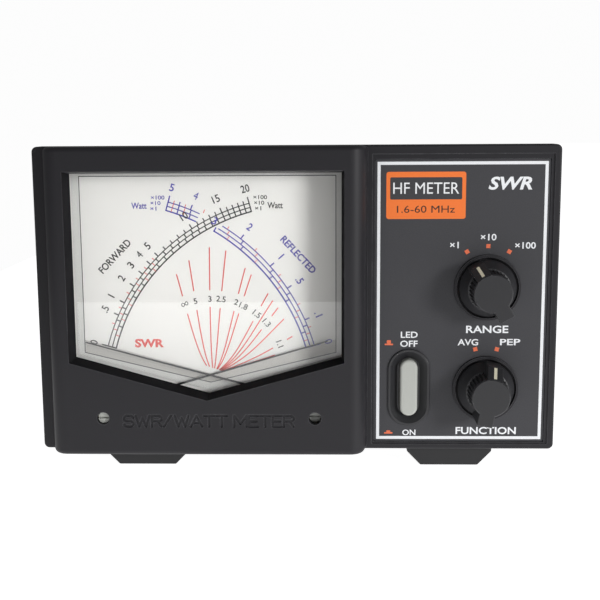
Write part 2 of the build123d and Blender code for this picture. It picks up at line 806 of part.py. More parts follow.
def build():
    save(front_bezel(), "front_bezel")
    save(control_plate(), "control_plate")
    save(lamp_switch_surround(), "lamp_switch_surround")
    save(front_subpanel(), "front_subpanel")
    save(bezel_screws(), "bezel_screws")

    save(meter_window(), "meter_window")
    save(dial_plate(), "dial_plate")
    save(meter_housing(), "meter_housing")
    save(movement_plate(), "movement_plate")
    save(meter_screws(), "meter_screws")
    save(lamp_board(), "lamp_board")
    save(dial_lamps(), "dial_lamps")
    for name, side, needle_y in (("forward", 1, 2.3), ("reflected", -1, 3.3)):
        save(magnet_yoke(side), f"{name}_magnet_yoke")
        save(movement_bridge(side), f"{name}_bridge")
        save(hairspring(side), f"{name}_hairspring")
        save(needle(side, needle_y), f"{name}_needle")
        save(coil(side), f"{name}_coil")
        save(staff(side), f"{name}_staff")
        save(zero_screw(side), f"{name}_zero_screw")

    knobs = (("range", range_z, range_rest_angle), ("function", function_z, function_rest_angle))
    for name, z, angle in knobs:
        save(knob(knob_x, z, angle), f"{name}_knob")
        save(knob_line(knob_x, z, angle), f"{name}_knob_line")
        save(shaft(knob_x, z), f"{name}_shaft")
        save(rotary_switch(knob_x, z), f"{name}_switch")
    save(switch_nuts(), "switch_nuts")
    save(lamp_switch(), "lamp_switch")
    save(lamp_button(), "lamp_button")
    save(lamp_plunger(), "lamp_plunger")

    save(top_cover(), "top_cover")
    save(chassis_pan(), "chassis_pan")
    save(rear_panel(), "rear_panel")
    save(cover_screws(), "cover_screws")
    save(feet(), "feet")
    save(foot_screws(), "foot_screws")

    save(main_board(), "main_board")
    save(board_standoffs(), "board_standoffs")
    save(board_parts(), "board_parts")
    save(trimmers(), "trimmers")
    save(coupler_box(), "coupler_box")
    save(coupler_lid(), "coupler_lid")
    save(coupler_line(), "coupler_line")
    save(toroid(), "toroid")
    save(coupler_board(), "coupler_board")
    save(coax_socket(socket_x[0]), "antenna_socket")
    save(coax_socket(socket_x[1]), "transmitter_socket")
    save(socket_insulators(), "socket_insulators")
    save(socket_contacts(), "socket_contacts")
    save(socket_screws(), "socket_screws")
    save(dc_jack(), "dc_jack")
    save(dc_jack_pin(), "dc_jack_pin")


build()
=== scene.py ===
from math import cos, hypot, pi, radians, sin, tan

import bmesh
import bpy
from bpy.props import FloatProperty, FloatVectorProperty, PointerProperty
from mathutils import Matrix, Vector


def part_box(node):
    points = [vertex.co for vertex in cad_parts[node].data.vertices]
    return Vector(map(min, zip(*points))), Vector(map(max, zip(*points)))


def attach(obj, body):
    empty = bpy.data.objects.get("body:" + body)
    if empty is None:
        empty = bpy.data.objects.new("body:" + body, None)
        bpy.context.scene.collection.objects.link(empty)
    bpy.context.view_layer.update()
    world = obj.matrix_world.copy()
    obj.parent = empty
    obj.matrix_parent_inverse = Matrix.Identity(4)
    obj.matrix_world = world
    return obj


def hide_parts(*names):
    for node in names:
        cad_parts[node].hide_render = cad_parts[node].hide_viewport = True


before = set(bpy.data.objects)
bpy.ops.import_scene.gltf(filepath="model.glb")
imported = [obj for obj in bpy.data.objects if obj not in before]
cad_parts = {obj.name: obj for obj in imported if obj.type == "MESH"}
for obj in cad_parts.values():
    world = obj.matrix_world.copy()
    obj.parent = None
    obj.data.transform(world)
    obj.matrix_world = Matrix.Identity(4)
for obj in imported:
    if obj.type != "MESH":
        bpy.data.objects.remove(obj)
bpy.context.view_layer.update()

bl_info = {
    "name": "Cross-Needle Meter Finish",
    "version": (1, 0, 0),
    "blender": (4, 5, 0),
    "location": "View3D > Sidebar > Meter",
    "description": "Finishes, printed scales, socket threads and a studio for a cross-needle SWR meter",
    "category": "Object",
}

# Everything is drawn in millimetres from the panel: x runs right from the panel's middle, y runs back from
# the flange's front face, z runs up from the flange's lower edge. DRAWN carries a mesh to its place in
# metres. BLOCK_REACH is how far the meter block stands in front of the flange.
MM = 0.001
BLOCK_REACH = 9.0
_bezel_low, _bezel_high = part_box("front_bezel")
PANEL = Vector((
    (_bezel_low.x + _bezel_high.x) / 2,
    _bezel_low.y + BLOCK_REACH * MM,
    _bezel_low.z,
))
DRAWN = Matrix.Translation(PANEL) @ Matrix.Scale(MM, 4)


def panel_box(node):
    """Lowest and highest corner of a node, in panel millimetres."""
    low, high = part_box(node)
    return (low - PANEL) / MM, (high - PANEL) / MM


def panel_middle(node):
    low, high = panel_box(node)
    return (low + high) / 2


DIAL_FRONT = panel_box("dial_plate")[0].y
METER_X = panel_middle("dial_plate").x
PLATE_LOW, PLATE_HIGH = panel_box("control_plate")
PLATE_FRONT = PLATE_LOW.y
REAR_FACE = panel_box("rear_panel")[1].y
INK_THICK = 0.03
INK_SUNK = 0.01

# The two scales. Side 1 is the forward scale, whose pivot is on the right, and side -1 the reflected scale.
FORWARD, REFLECTED = 1, -1
PIVOT = {FORWARD: panel_middle("forward_staff"), REFLECTED: panel_middle("reflected_staff")}
FULL_POWER = {FORWARD: 20.0, REFLECTED: 5.0}
POWER_LAW = {FORWARD: 0.5, REFLECTED: 0.52}
ZERO_ANGLE = {FORWARD: 15.25, REFLECTED: 16.05}
SWEEP = {FORWARD: 59.9, REFLECTED: 57.65}
RING_R = {FORWARD: (72.3, 73.85, 75.4), REFLECTED: (75.0, 76.6, 78.2)}
NUMERAL_R = {FORWARD: 80.9, REFLECTED: 83.7}
# In the two inner bands the marks lag by this many degrees a band, less and less up to a given power.
BAND_LAG = {FORWARD: 1.5, REFLECTED: 1.6}
LAG_END = {FORWARD: 15.0, REFLECTED: 4.7}


def srgb(*levels):
    """Display levels from 0 to 255 as linear light, which is what a shader takes."""
    out = []
    for level in levels:
        v = level / 255
        out.append(v / 12.92 if v <= 0.04045 else ((v + 0.055) / 1.055) ** 2.4)
    return tuple(out)


def colour(name, about, *levels):
    return FloatVectorProperty(name=name, description=about, default=srgb(*levels),
                               subtype="COLOR", size=3, min=0.0, max=1.0)


def length(name, about, default):
    """A size in panel millimetres."""
    return FloatProperty(name=name, description=about + ", in millimetres", default=default, min=0.0)


# ---------------------------------------------------------------- settings

class MeterDialSettings(bpy.types.PropertyGroup):
    black_ink: colour("Black ink", "Forward scale, border and SWR numerals", 46, 46, 44)
    blue_ink: colour("Blue ink", "Reflected scale", 66, 60, 168)
    red_ink: colour("Red ink", "SWR curves and half marks", 228, 92, 84)
    # The apron colour is painted shade below the zero lines, standing in for the shade of the window's V
    # wall.
    margin_shade: colour("Margin tint", "Tinted margin outside the dial's border line", 226, 225, 221)
    # The margin colour is painted shade round the dial, standing in for the shade cast by the cover's side
    # walls.
    apron_shade: colour("Apron tint", "Tinted strip below the zero lines", 204, 201, 196)
    arc_width: length("Arc width", "Width of the scale arcs", 0.38)
    mark_width: length("Mark width", "Width of the graduation marks", 0.46)
    half_mark_width: length("Half mark width", "Width of the small red marks", 0.28)
    curve_width: length("Curve width", "Width of the SWR curves", 0.42)
    border_width: length("Border width", "Width of the line round the dial", 0.28)
    numeral_height: length("Numeral height", "Height of the power numerals", 2.75)


class MeterPanelSettings(bpy.types.PropertyGroup):
    legend_ink: colour("Legend ink", "Panel border and words", 248, 250, 253)
    mark_ink: colour("Mark ink", "Switch position marks and button signs", 240, 118, 78)
    badge_orange: colour("Badge", "Orange badge with the frequency range", 255, 127, 50)
    badge_dark: colour("Badge words", "Dark words on the badge", 48, 34, 28)
    border_width: length("Border width", "Width of the line round the control panel", 1.1)
    mark_size: length("Mark size", "Side of a switch position mark", 1.5)
    thread_pitch: length("Thread pitch", "Pitch of the sockets' outside thread", 1.06)


class MeterFinishSettings(bpy.types.PropertyGroup):
    bezel: colour("Bezel", "Moulded front", 36, 35, 39)
    plate: colour("Control plate", "Grained paint of the control plate", 59, 59, 63)
    case: colour("Case", "Powder coat of the cabinet", 40, 40, 42)
    knob: colour("Knobs", "Knob plastic", 38, 38, 41)
    ivory: colour("Pointer line", "Ivory line in each knob", 240, 234, 208)
    button: colour("Lamp button", "Grey push button", 188, 190, 184)
    dial: colour("Dial", "Cream dial plate", 246, 244, 240)


class MeterStageSettings(bpy.types.PropertyGroup):
    key_power: FloatProperty(name="Key light", description="Power of the light on the right",
                             default=5.7, min=0.0, unit="POWER")
    sky: FloatProperty(name="Sky", description="Strength of the even light all round", default=0.24, min=0.0)
    backdrop: FloatProperty(name="Backdrop", description="Brightness of the plain background",
                            default=0.98, min=0.0)
    floor_glow: FloatProperty(name="Floor glow", default=0.95, min=0.0,
                              description="Light given back by the pale floor, as by a light table")
    key_size: FloatProperty(name="Key size", description="Side of the key light", default=0.26,
                            min=0.01, unit="LENGTH")
    lens: FloatProperty(name="Lens", description="Focal length in millimetres on a 36 mm sensor",
                        default=65.1, min=1.0)


# ---------------------------------------------------------------- drawing

def ribbon(bm, points, width, front, back, closed=False):
    """A flat strip of one width that follows a line of (x, z) points, with mitred corners."""
    count = len(points)
    rails = []
    for i, (x, z) in enumerate(points):
        before = points[i - 1] if i or closed else None
        after = points[(i + 1) % count] if i < count - 1 or closed else None
        normals = []
        for a, b in ((before, (x, z)), ((x, z), after)):
            if a is not None and b is not None:
                run = Vector((b[0] - a[0], b[1] - a[1])).normalized()
                normals.append(Vector((-run.y, run.x)))
        out = sum(normals, Vector((0, 0))).normalized()
        reach = width / 2 / max(out.dot(normals[0]), 0.3)
        rails.append((Vector((x, z)) + out * reach, Vector((x, z)) - out * reach))
    rings = []
    for left, right in rails:
        corners = ((left, front), (right, front), (right, back), (left, back))
        rings.append([bm.verts.new((p.x, y, p.y)) for p, y in corners])
    pairs = list(zip(rings, rings[1:]))
    if closed:
        pairs.append((rings[-1], rings[0]))
    for a, b in pairs:
        for k in range(4):
            bm.faces.new((a[k], a[(k + 1) % 4], b[(k + 1) % 4], b[k]))
    if not closed:
        bm.faces.new(rings[0])
        bm.faces.new(rings[-1][::-1])


def slab(bm, outline, front, back):
    """A flat piece with an outline of (x, z) points."""
    near = [bm.verts.new((x, front, z)) for x, z in outline]
    far = [bm.verts.new((x, back, z)) for x, z in outline]
    bm.faces.new(near)
    bm.faces.new(far[::-1])
    for i in range(len(outline)):
        j = (i + 1) % len(outline)
        bm.faces.new((near[i], far[i], far[j], near[j]))


def rounded_box(x, z, corner, steps=6):
    """The outline of a box between two x and two z values, with round corners."""
    outline = []
    for i, (cx, cz) in enumerate(((x[1], z[1]), (x[0], z[1]), (x[0], z[0]), (x[1], z[0]))):
        sx, sz = (1, -1, -1, 1)[i], (1, 1, -1, -1)[i]
        for k in range(steps + 1):
            a = pi / 2 * (i + k / steps)
            outline.append((cx - sx * corner + corner * cos(a), cz - sz * corner + corner * sin(a)))
    return outline


def turned_square(middle, side, angle):
    """A square's outline, turned clockwise by an angle in degrees."""
    half = side / 2
    c, s = cos(radians(-angle)), sin(radians(-angle))
    corners = ((-half, -half), (half, -half), (half, half), (-half, half))
    return [(middle[0] + x * c - z * s, middle[1] + x * s + z * c) for x, z in corners]


def lettering(bm, words, middle, height, width=None, turn=0.0, bold=0.0, slant=0.0, front=0.0, back=0.0):
    """Words set in plain letters as a thin solid. Height is that of a capital, turn is anticlockwise.
    Words with a 4 or an M keep the plain weight, as those two fill in when they are made heavier."""
    if set(words) & {"4", "M"}:
        bold = 0.0
    curve = bpy.data.curves.new("words", "FONT")
    curve.body = words
    curve.offset = bold
    curve.shear = slant
    curve.extrude = 0.5
    curve.resolution_u = 3
    holder = bpy.data.objects.new("words", curve)
    bpy.context.scene.collection.objects.link(holder)
    mesh = bpy.data.meshes.new_from_object(holder.evaluated_get(bpy.context.evaluated_depsgraph_get()))
    xs = [v.co.x for v in mesh.vertices]
    cap = cap_height() + 2 * bold
    tall = height / cap
    wide = tall if width is None else width / (max(xs) - min(xs))
    size = Matrix.Diagonal((wide, tall, abs(back - front), 1))
    centre = Matrix.Translation((-(max(xs) + min(xs)) / 2, bold - cap / 2, 0))
    upright = Matrix.Rotation(radians(90), 4, "X")
    turned = Matrix.Rotation(radians(-turn), 4, "Y")
    place = Matrix.Translation((middle[0], (front + back) / 2, middle[1]))
    mesh.transform(place @ turned @ upright @ size @ centre)
    bm.from_mesh(mesh)
    bpy.data.objects.remove(holder)
    bpy.data.meshes.remove(mesh)
    bpy.data.curves.remove(curve)


def cap_height():
    """Height of a plain capital at size one."""
    if not hasattr(cap_height, "value"):
        curve = bpy.data.curves.new("capital", "FONT")
        curve.body = "H"
        holder = bpy.data.objects.new("capital", curve)
        bpy.context.scene.collection.objects.link(holder)
        bpy.context.view_layer.update()
        cap_height.value = holder.dimensions.y
        bpy.data.objects.remove(holder)
        bpy.data.curves.remove(curve)
    return cap_height.value


def add_piece(name, bm, material, body="chassis"):
    """Finish a drawn mesh as a piece: closed, normals out, in its place in metres, on its body."""
    bmesh.ops.remove_doubles(bm, verts=bm.verts, dist=0.0005)
    bmesh.ops.recalc_face_normals(bm, faces=bm.faces)
    mesh = bpy.data.meshes.new(name)
    bm.to_mesh(mesh)
    bm.free()
    mesh.materials.clear()
    mesh.materials.append(material)
    mesh.transform(DRAWN)
    piece = bpy.data.objects.new(name, mesh)
    bpy.context.scene.collection.objects.link(piece)
    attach(piece, body)
    return piece


def scale_angle(side, power):
    """Where a power sits on a scale, in degrees above level."""
    return ZERO_ANGLE[side] + SWEEP[side] * (power / FULL_POWER[side]) ** POWER_LAW[side]


def at_angle(side, angle, radius):
    a = radians(angle)
    pivot = PIVOT[side]
    return pivot.x - side * radius * cos(a), pivot.z + radius * sin(a)


def scale_arc(side, radius, start, end):
    steps = max(2, round(abs(end - start) / 1.2))
    return [at_angle(side, start + (end - start) * i / steps, radius) for i in range(steps + 1)]


INK = (DIAL_FRONT - INK_THICK, DIAL_FRONT + INK_SUNK)
OVER_INK = (DIAL_FRONT - 2 * INK_THICK, DIAL_FRONT - INK_THICK / 2)
UNDER_INK = (DIAL_FRONT - INK_THICK / 3, DIAL_FRONT + INK_SUNK)
PANEL_INK = (PLATE_FRONT - INK_THICK, PLATE_FRONT + INK_SUNK)
OVER_PANEL_INK = (PLATE_FRONT - 2 * INK_THICK, PLATE_FRONT - INK_THICK / 2)


# ---------------------------------------------------------------- shader groups

def group_tree(name, inputs, outputs):
    """An empty shader node group with named inputs and outputs."""
    tree = bpy.data.node_groups.new(name, "ShaderNodeTree")
    kinds = {"float": "NodeSocketFloat", "colour": "NodeSocketColor", "vector": "NodeSocketVector"}
    for label, kind, value in inputs:
        socket = tree.interface.new_socket(name=label, in_out="INPUT", socket_type=kinds[kind])
        socket.default_value = value
    for label, kind in outputs:
        tree.interface.new_socket(name=label, in_out="OUTPUT", socket_type=kinds[kind])
    return tree, tree.nodes.new("NodeGroupInput"), tree.nodes.new("NodeGroupOutput")


def math_node(tree, operation, a, b=None, c=None):
    """A Math node fed by sockets or plain numbers."""
    node = tree.nodes.new("ShaderNodeMath")
    node.operation = operation
    for i, value in enumerate((a, b, c)):
        if value is None:
            continue
        if isinstance(value, (int, float)):
            node.inputs[i].default_value = value
        else:
            tree.links.new(value, node.inputs[i])
    return node.outputs[0]


def mix_colours(tree, factor, a, b):
    node = tree.nodes.new("ShaderNodeMix")
    node.data_type = "RGBA"
    for socket, value in ((node.inputs[0], factor), (node.inputs[6], a), (node.inputs[7], b)):
        if isinstance(value, (int, float, tuple)):
            socket.default_value = value
        else:
            tree.links.new(value, socket)
    return node.outputs[2]


def noise(tree, vector, scale, detail=2.0, roughness=0.5):
    node = tree.nodes.new("ShaderNodeTexNoise")
    node.inputs["Detail"].default_value = detail
    node.inputs["Roughness"].default_value = roughness
    if isinstance(scale, (int, float)):
        node.inputs["Scale"].default_value = scale
    else:
        tree.links.new(scale, node.inputs["Scale"])
    tree.links.new(vector, node.inputs["Vector"])
    return node.outputs["Fac"]


def grain_group():
    """Fine grain: small changes of shade and roughness, and a height for a bump."""
    found = bpy.data.node_groups.get("Fine Grain")
    if found:
        return found
    tree, start, end = group_tree(
        "Fine Grain",
        [("Color", "colour", (0.5, 0.5, 0.5, 1)), ("Grain Scale", "float", 2500.0),
         ("Contrast", "float", 0.2), ("Cloud Contrast", "float", 0.06),
         ("Roughness", "float", 0.5), ("Roughness Change", "float", 0.1)],
        [("Color", "colour"), ("Roughness", "float"), ("Height", "float")])
    place = tree.nodes.new("ShaderNodeTexCoord").outputs["Object"]
    fine = noise(tree, place, start.outputs["Grain Scale"], 3.0, 0.6)
    broad = noise(tree, place, 35.0, 2.0)
    speck = math_node(tree, "MULTIPLY", math_node(tree, "SUBTRACT", fine, 0.5), start.outputs["Contrast"])
    cloud = math_node(tree, "MULTIPLY", math_node(tree, "SUBTRACT", broad, 0.5),
                      start.outputs["Cloud Contrast"])
    level = math_node(tree, "ADD", math_node(tree, "ADD", speck, cloud), 1.0)
    shade = tree.nodes.new("ShaderNodeVectorMath")
    shade.operation = "SCALE"
    tree.links.new(start.outputs["Color"], shade.inputs[0])
    tree.links.new(level, shade.inputs["Scale"])
    tree.links.new(shade.outputs[0], end.inputs["Color"])
    change = math_node(tree, "MULTIPLY", math_node(tree, "SUBTRACT", fine, 0.5),
                       start.outputs["Roughness Change"])
    rough = math_node(tree, "ADD", start.outputs["Roughness"], change)
    tree.links.new(rough, end.inputs["Roughness"])
    tree.links.new(fine, end.inputs["Height"])
    return tree


def edge_group():
    """Handling wear: edges rub paler, broken up so that no edge is worn evenly."""
    found = bpy.data.node_groups.get("Edge Wear")
    if found:
        return found
    tree, start, end = group_tree(
        "Edge Wear",
        [("Color", "colour", (0.1, 0.1, 0.1, 1)), ("Worn Color", "colour", (0.3, 0.3, 0.3, 1)),
         ("Edge Radius", "float", 0.0005), ("Amount", "float", 0.5)],
        [("Color", "colour"), ("Mask", "float")])
    bevel = tree.nodes.new("ShaderNodeBevel")
    bevel.samples = 4
    tree.links.new(start.outputs["Edge Radius"], bevel.inputs["Radius"])
    plain = tree.nodes.new("ShaderNodeNewGeometry")
    dot = tree.nodes.new("ShaderNodeVectorMath")
    dot.operation = "DOT_PRODUCT"
    tree.links.new(bevel.outputs[0], dot.inputs[0])
    tree.links.new(plain.outputs["Normal"], dot.inputs[1])
    bend = math_node(tree, "SUBTRACT", 1.0, dot.outputs["Value"])
    place = tree.nodes.new("ShaderNodeTexCoord").outputs["Object"]
    patchy = math_node(tree, "MULTIPLY_ADD", noise(tree, place, 160.0, 3.0), 2.4, -0.5)
    strong = math_node(tree, "MULTIPLY", math_node(tree, "MULTIPLY", bend, 5.0), patchy)
    mask = tree.nodes.new("ShaderNodeClamp")
    tree.links.new(math_node(tree, "MULTIPLY", strong, start.outputs["Amount"]), mask.inputs[0])
    worn = mix_colours(tree, mask.outputs[0], start.outputs["Color"], start.outputs["Worn Color"])
    tree.links.new(worn, end.inputs["Color"])
    tree.links.new(mask.outputs[0], end.inputs["Mask"])
    return tree


def place_group(tree, group, **values):
    """Put a shader group in a material, with its inputs set by name."""
    node = tree.nodes.new("ShaderNodeGroup")
    node.node_tree = group
    for label, value in values.items():
        socket = node.inputs[label.replace("_", " ")]
        if isinstance(value, bpy.types.NodeSocket):
            tree.links.new(value, socket)
        else:
            socket.default_value = value
    return node


# ---------------------------------------------------------------- finishes

def blank(name):
    material = bpy.data.materials.new(name)
    material.use_nodes = True
    return material, material.node_tree, material.node_tree.nodes["Principled BSDF"]


def grained(name, tint, grain=2500.0, contrast=0.2, cloud=0.06, rough=0.5, change=0.1,
            bump=0.15, bump_depth=0.00004, worn=None, wear=0.0, edge=0.0004, metallic=0.0,
            specular=0.5, coat=0.0, ior=1.5):
    """A finish with fine grain, a slight bump and, where it is handled, paler edges."""
    material, tree, shader = blank(name)
    shade = place_group(tree, grain_group(), Color=(*tint, 1), Grain_Scale=grain, Contrast=contrast,
                        Cloud_Contrast=cloud, Roughness=rough, Roughness_Change=change)
    surface = shade.outputs["Color"]
    if worn is not None:
        rub = place_group(tree, edge_group(), Color=surface, Worn_Color=(*worn, 1), Edge_Radius=edge,
                          Amount=wear)
        surface = rub.outputs["Color"]
    tree.links.new(surface, shader.inputs["Base Color"])
    tree.links.new(shade.outputs["Roughness"], shader.inputs["Roughness"])
    dimple = tree.nodes.new("ShaderNodeBump")
    dimple.inputs["Strength"].default_value = bump
    dimple.inputs["Distance"].default_value = bump_depth
    tree.links.new(shade.outputs["Height"], dimple.inputs["Height"])
    tree.links.new(dimple.outputs[0], shader.inputs["Normal"])
    shader.inputs["Metallic"].default_value = metallic
    shader.inputs["Specular IOR Level"].default_value = specular
    shader.inputs["Coat Weight"].default_value = coat
    shader.inputs["IOR"].default_value = ior
    return material


def ink(name, tint, rough=0.55):
    """Screen-printed ink: very slightly uneven. The same finish also carries the painted shade on the dial's
    margin and apron.
    """
    found = bpy.data.materials.get(name)
    if found:
        return found
    return grained(name, tint, grain=1800.0, contrast=0.10, cloud=0.04, rough=rough, change=0.06,
                   bump=0.05, bump_depth=0.00002)


def clear_acrylic():
    """The dial's clear cover. Light that only casts shadows goes straight through it."""
    material, tree, shader = blank("clear_acrylic_finish")
    shader.inputs["Base Color"].default_value = (0.985, 0.99, 0.99, 1)
    shader.inputs["Roughness"].default_value = 0.012
    shader.inputs["IOR"].default_value = 1.49
    shader.inputs["Transmission Weight"].default_value = 1.0
    path = tree.nodes.new("ShaderNodeLightPath")
    through = tree.nodes.new("ShaderNodeBsdfTransparent")
    through.inputs["Color"].default_value = (0.96, 0.965, 0.965, 1)
    mix = tree.nodes.new("ShaderNodeMixShader")
    tree.links.new(path.outputs["Is Shadow Ray"], mix.inputs[0])
    tree.links.new(shader.outputs[0], mix.inputs[1])
    tree.links.new(through.outputs[0], mix.inputs[2])
    tree.links.new(mix.outputs[0], tree.nodes["Material Output"].inputs["Surface"])
    return material


def brushed(name, tint, rough=0.3, across=(1, 40, 40), worn=None, wear=0.0):
    """Metal with drawn lines along one direction."""
    material, tree, shader = blank(name)
    place = tree.nodes.new("ShaderNodeTexCoord").outputs["Object"]
    stretch = tree.nodes.new("ShaderNodeMapping")
    stretch.inputs["Scale"].default_value = across
    tree.links.new(place, stretch.inputs["Vector"])
    lines = noise(tree, stretch.outputs[0], 120.0, 4.0, 0.6)
    shade = math_node(tree, "MULTIPLY_ADD", lines, 0.3, 0.85)
    colour_node = tree.nodes.new("ShaderNodeVectorMath")
    colour_node.operation = "SCALE"
    colour_node.inputs[0].default_value = tint
    tree.links.new(shade, colour_node.inputs["Scale"])
    surface = colour_node.outputs[0]
    if worn is not None:
        rub = place_group(tree, edge_group(), Color=surface, Worn_Color=(*worn, 1), Edge_Radius=0.0003,
                          Amount=wear)
        surface = rub.outputs["Color"]
    tree.links.new(surface, shader.inputs["Base Color"])
    tree.links.new(math_node(tree, "MULTIPLY_ADD", lines, 0.2, rough - 0.1), shader.inputs["Roughness"])
    shader.inputs["Metallic"].default_value = 1.0
    return material


def circuit_board():
    """Green solder mask over copper tracks, with tinned pads."""
    material, tree, shader = blank("circuit_board_finish")
    place = tree.nodes.new("ShaderNodeTexCoord").outputs["Object"]
    tracks = tree.nodes.new("ShaderNodeTexBrick")
    tracks.inputs["Scale"].default_value = 180.0
    tracks.inputs["Color1"].default_value = (*srgb(24, 92, 52), 1)
    tracks.inputs["Color2"].default_value = (*srgb(20, 80, 46), 1)
    tracks.inputs["Mortar"].default_value = (*srgb(44, 124, 70), 1)
    tracks.inputs["Mortar Size"].default_value = 0.06
    tree.links.new(place, tracks.inputs["Vector"])
    pads = tree.nodes.new("ShaderNodeTexVoronoi")
    pads.inputs["Scale"].default_value = 260.0
    tree.links.new(place, pads.inputs["Vector"])
    dots = math_node(tree, "LESS_THAN", pads.outputs["Distance"], 0.18)
    surface = mix_colours(tree, dots, tracks.outputs["Color"], (*srgb(190, 190, 186), 1))
    tree.links.new(surface, shader.inputs["Base Color"])
    tree.links.new(math_node(tree, "MULTIPLY_ADD", dots, -0.1, 0.38), shader.inputs["Roughness"])
    return material


def coppery_winding():
    """Enamelled wire wound side by side."""
    material, tree, shader = blank("copper_winding_finish")
    place = tree.nodes.new("ShaderNodeTexCoord").outputs["Object"]
    turns = tree.nodes.new("ShaderNodeTexWave")
    turns.bands_direction = "Y"
    turns.inputs["Scale"].default_value = 900.0
    tree.links.new(place, turns.inputs["Vector"])
    surface = mix_colours(tree, turns.outputs["Fac"], (*srgb(120, 56, 24), 1), (*srgb(198, 108, 52), 1))
    tree.links.new(surface, shader.inputs["Base Color"])
    dimple = tree.nodes.new("ShaderNodeBump")
    dimple.inputs["Strength"].default_value = 0.5
    dimple.inputs["Distance"].default_value = 0.0001
    tree.links.new(turns.outputs["Fac"], dimple.inputs["Height"])
    tree.links.new(dimple.outputs[0], shader.inputs["Normal"])
    shader.inputs["Metallic"].default_value = 0.8
    shader.inputs["Roughness"].default_value = 0.32
    return material


def finish_makers():
    """How each material slot of the model is finished."""
    s = bpy.context.scene.meter_finish
    pale_edge = srgb(104, 104, 108)
    return {
        "bezel_plastic": lambda: grained("bezel_finish", tuple(s.bezel), grain=3800, contrast=0.22, rough=0.5,
                                         specular=0.33, change=0.14, bump=0.22, worn=pale_edge, wear=0.30,
                                         edge=0.0006),
        "panel_paint": lambda: grained("panel_finish", tuple(s.plate), grain=2600, contrast=0.75, cloud=0.08,
                                       rough=0.62, change=0.2, bump=0.35, bump_depth=0.00006),
        "black_plastic": lambda: grained("black_plastic_finish", srgb(42, 42, 45), rough=0.38, change=0.1,
                                         worn=pale_edge, wear=0.18, edge=0.0004),
        "knob_plastic": lambda: grained("knob_finish", tuple(s.knob), grain=3000, contrast=0.3, rough=0.45,
                                        change=0.12, bump=0.2, worn=srgb(128, 128, 132), wear=0.4,
                                        edge=0.0003),
        "ivory_plastic": lambda: grained("ivory_finish", tuple(s.ivory), grain=900, contrast=0.08,
                                         rough=0.35),
        "grey_plastic": lambda: grained("button_finish", tuple(s.button), grain=2200, contrast=0.1,
                                        rough=0.42, worn=srgb(214, 215, 210), wear=0.2, edge=0.0006),
        "case_paint": lambda: grained("case_finish", tuple(s.case), grain=1500, contrast=0.4, cloud=0.1,
                                      rough=0.5, change=0.2, bump=0.5, bump_depth=0.0001,
                                      worn=srgb(150, 150, 150), wear=0.22, edge=0.0005),
        "foot_plastic": lambda: grained("foot_finish", srgb(34, 34, 36), grain=1800, contrast=0.3, rough=0.6,
                                        bump=0.3, worn=pale_edge, wear=0.25, edge=0.0006),
        "black_screw": lambda: grained("black_screw_finish", srgb(30, 30, 32), grain=2500, rough=0.34,
                                       metallic=0.6, worn=srgb(150, 148, 142), wear=0.5, edge=0.0003),
        "clear_acrylic": clear_acrylic,
        "dial_print": lambda: grained("dial_finish", tuple(s.dial), grain=1300, contrast=0.03, cloud=0.04,
                                      rough=0.6, change=0.05, bump=0.04),
        "housing_plastic": lambda: grained("housing_finish", srgb(206, 204, 198), grain=1500, contrast=0.08,
                                           rough=0.5),
        "needle_paint": lambda: grained("needle_finish", srgb(26, 26, 27), grain=2000, contrast=0.2,
                                        rough=0.5),
        "zinc_steel": lambda: brushed("zinc_finish", srgb(176, 178, 182), rough=0.34),
        "nickel": lambda: brushed("nickel_finish", srgb(196, 192, 184), rough=0.26, worn=srgb(226, 222, 214),
                                  wear=0.4),
        "brass": lambda: brushed("brass_finish", srgb(196, 160, 88), rough=0.28),
        "gilt_brass": lambda: brushed("gilt_finish", srgb(222, 182, 96), rough=0.2, worn=srgb(238, 206, 130),
                                      wear=0.4),
        "soft_iron": lambda: brushed("soft_iron_finish", srgb(122, 122, 126), rough=0.45),
        "circuit_board": circuit_board,
        "lamp_lens": lambda: grained("lamp_finish", srgb(250, 236, 190), grain=800, contrast=0.1, rough=0.2),
        "component_plastic": lambda: grained("component_finish", srgb(38, 38, 44), contrast=0.2, rough=0.4),
        "trimmer_plastic": lambda: grained("trimmer_finish", srgb(40, 84, 168), contrast=0.15, rough=0.35),
        "ferrite": lambda: grained("ferrite_finish", srgb(64, 62, 60), grain=1200, contrast=0.5, rough=0.7,
                                   bump=0.5, bump_depth=0.0001),
        "white_insulator": lambda: grained("insulator_finish", srgb(236, 234, 226), grain=700, contrast=0.06,
                                           rough=0.3),
        "copper_winding": coppery_winding,
    }


def finish_for(slot):
    """The finish of a slot, made the first time it is asked for."""
    name = "slot_" + slot
    found = bpy.data.materials.get(name)
    if found is None:
        found = finish_makers()[slot]()
        found.name = name
    return found


def refinish(*nodes):
    """Give CAD nodes the finish of their own slot."""
    for node in nodes:
        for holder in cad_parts[node].material_slots:
            if not holder.material.name.startswith("slot_"):
                holder.material = finish_for(holder.material.name.split(".")[0])


# ---------------------------------------------------------------- geometry nodes

def repeat_tree(name, inputs):
    tree = bpy.data.node_groups.new(name, "GeometryNodeTree")
    kinds = {float: "NodeSocketFloat", int: "NodeSocketInt", tuple: "NodeSocketVector"}
    for label, value in inputs:
        kind = "NodeSocketMaterial" if value is None else kinds[type(value)]
        socket = tree.interface.new_socket(name=label, in_out="INPUT", socket_type=kind)
        if value is not None:
            socket.default_value = value
    tree.interface.new_socket(name="Geometry", in_out="OUTPUT", socket_type="NodeSocketGeometry")
    return tree, tree.nodes.new("NodeGroupInput"), tree.nodes.new("NodeGroupOutput")


def combine(tree, x, y, z):
    node = tree.nodes.new("ShaderNodeCombineXYZ")
    for i, value in enumerate((x, y, z)):
        if isinstance(value, (int, float)):
            node.inputs[i].default_value = value
        else:
            tree.links.new(value, node.inputs[i])
    return node.outputs[0]


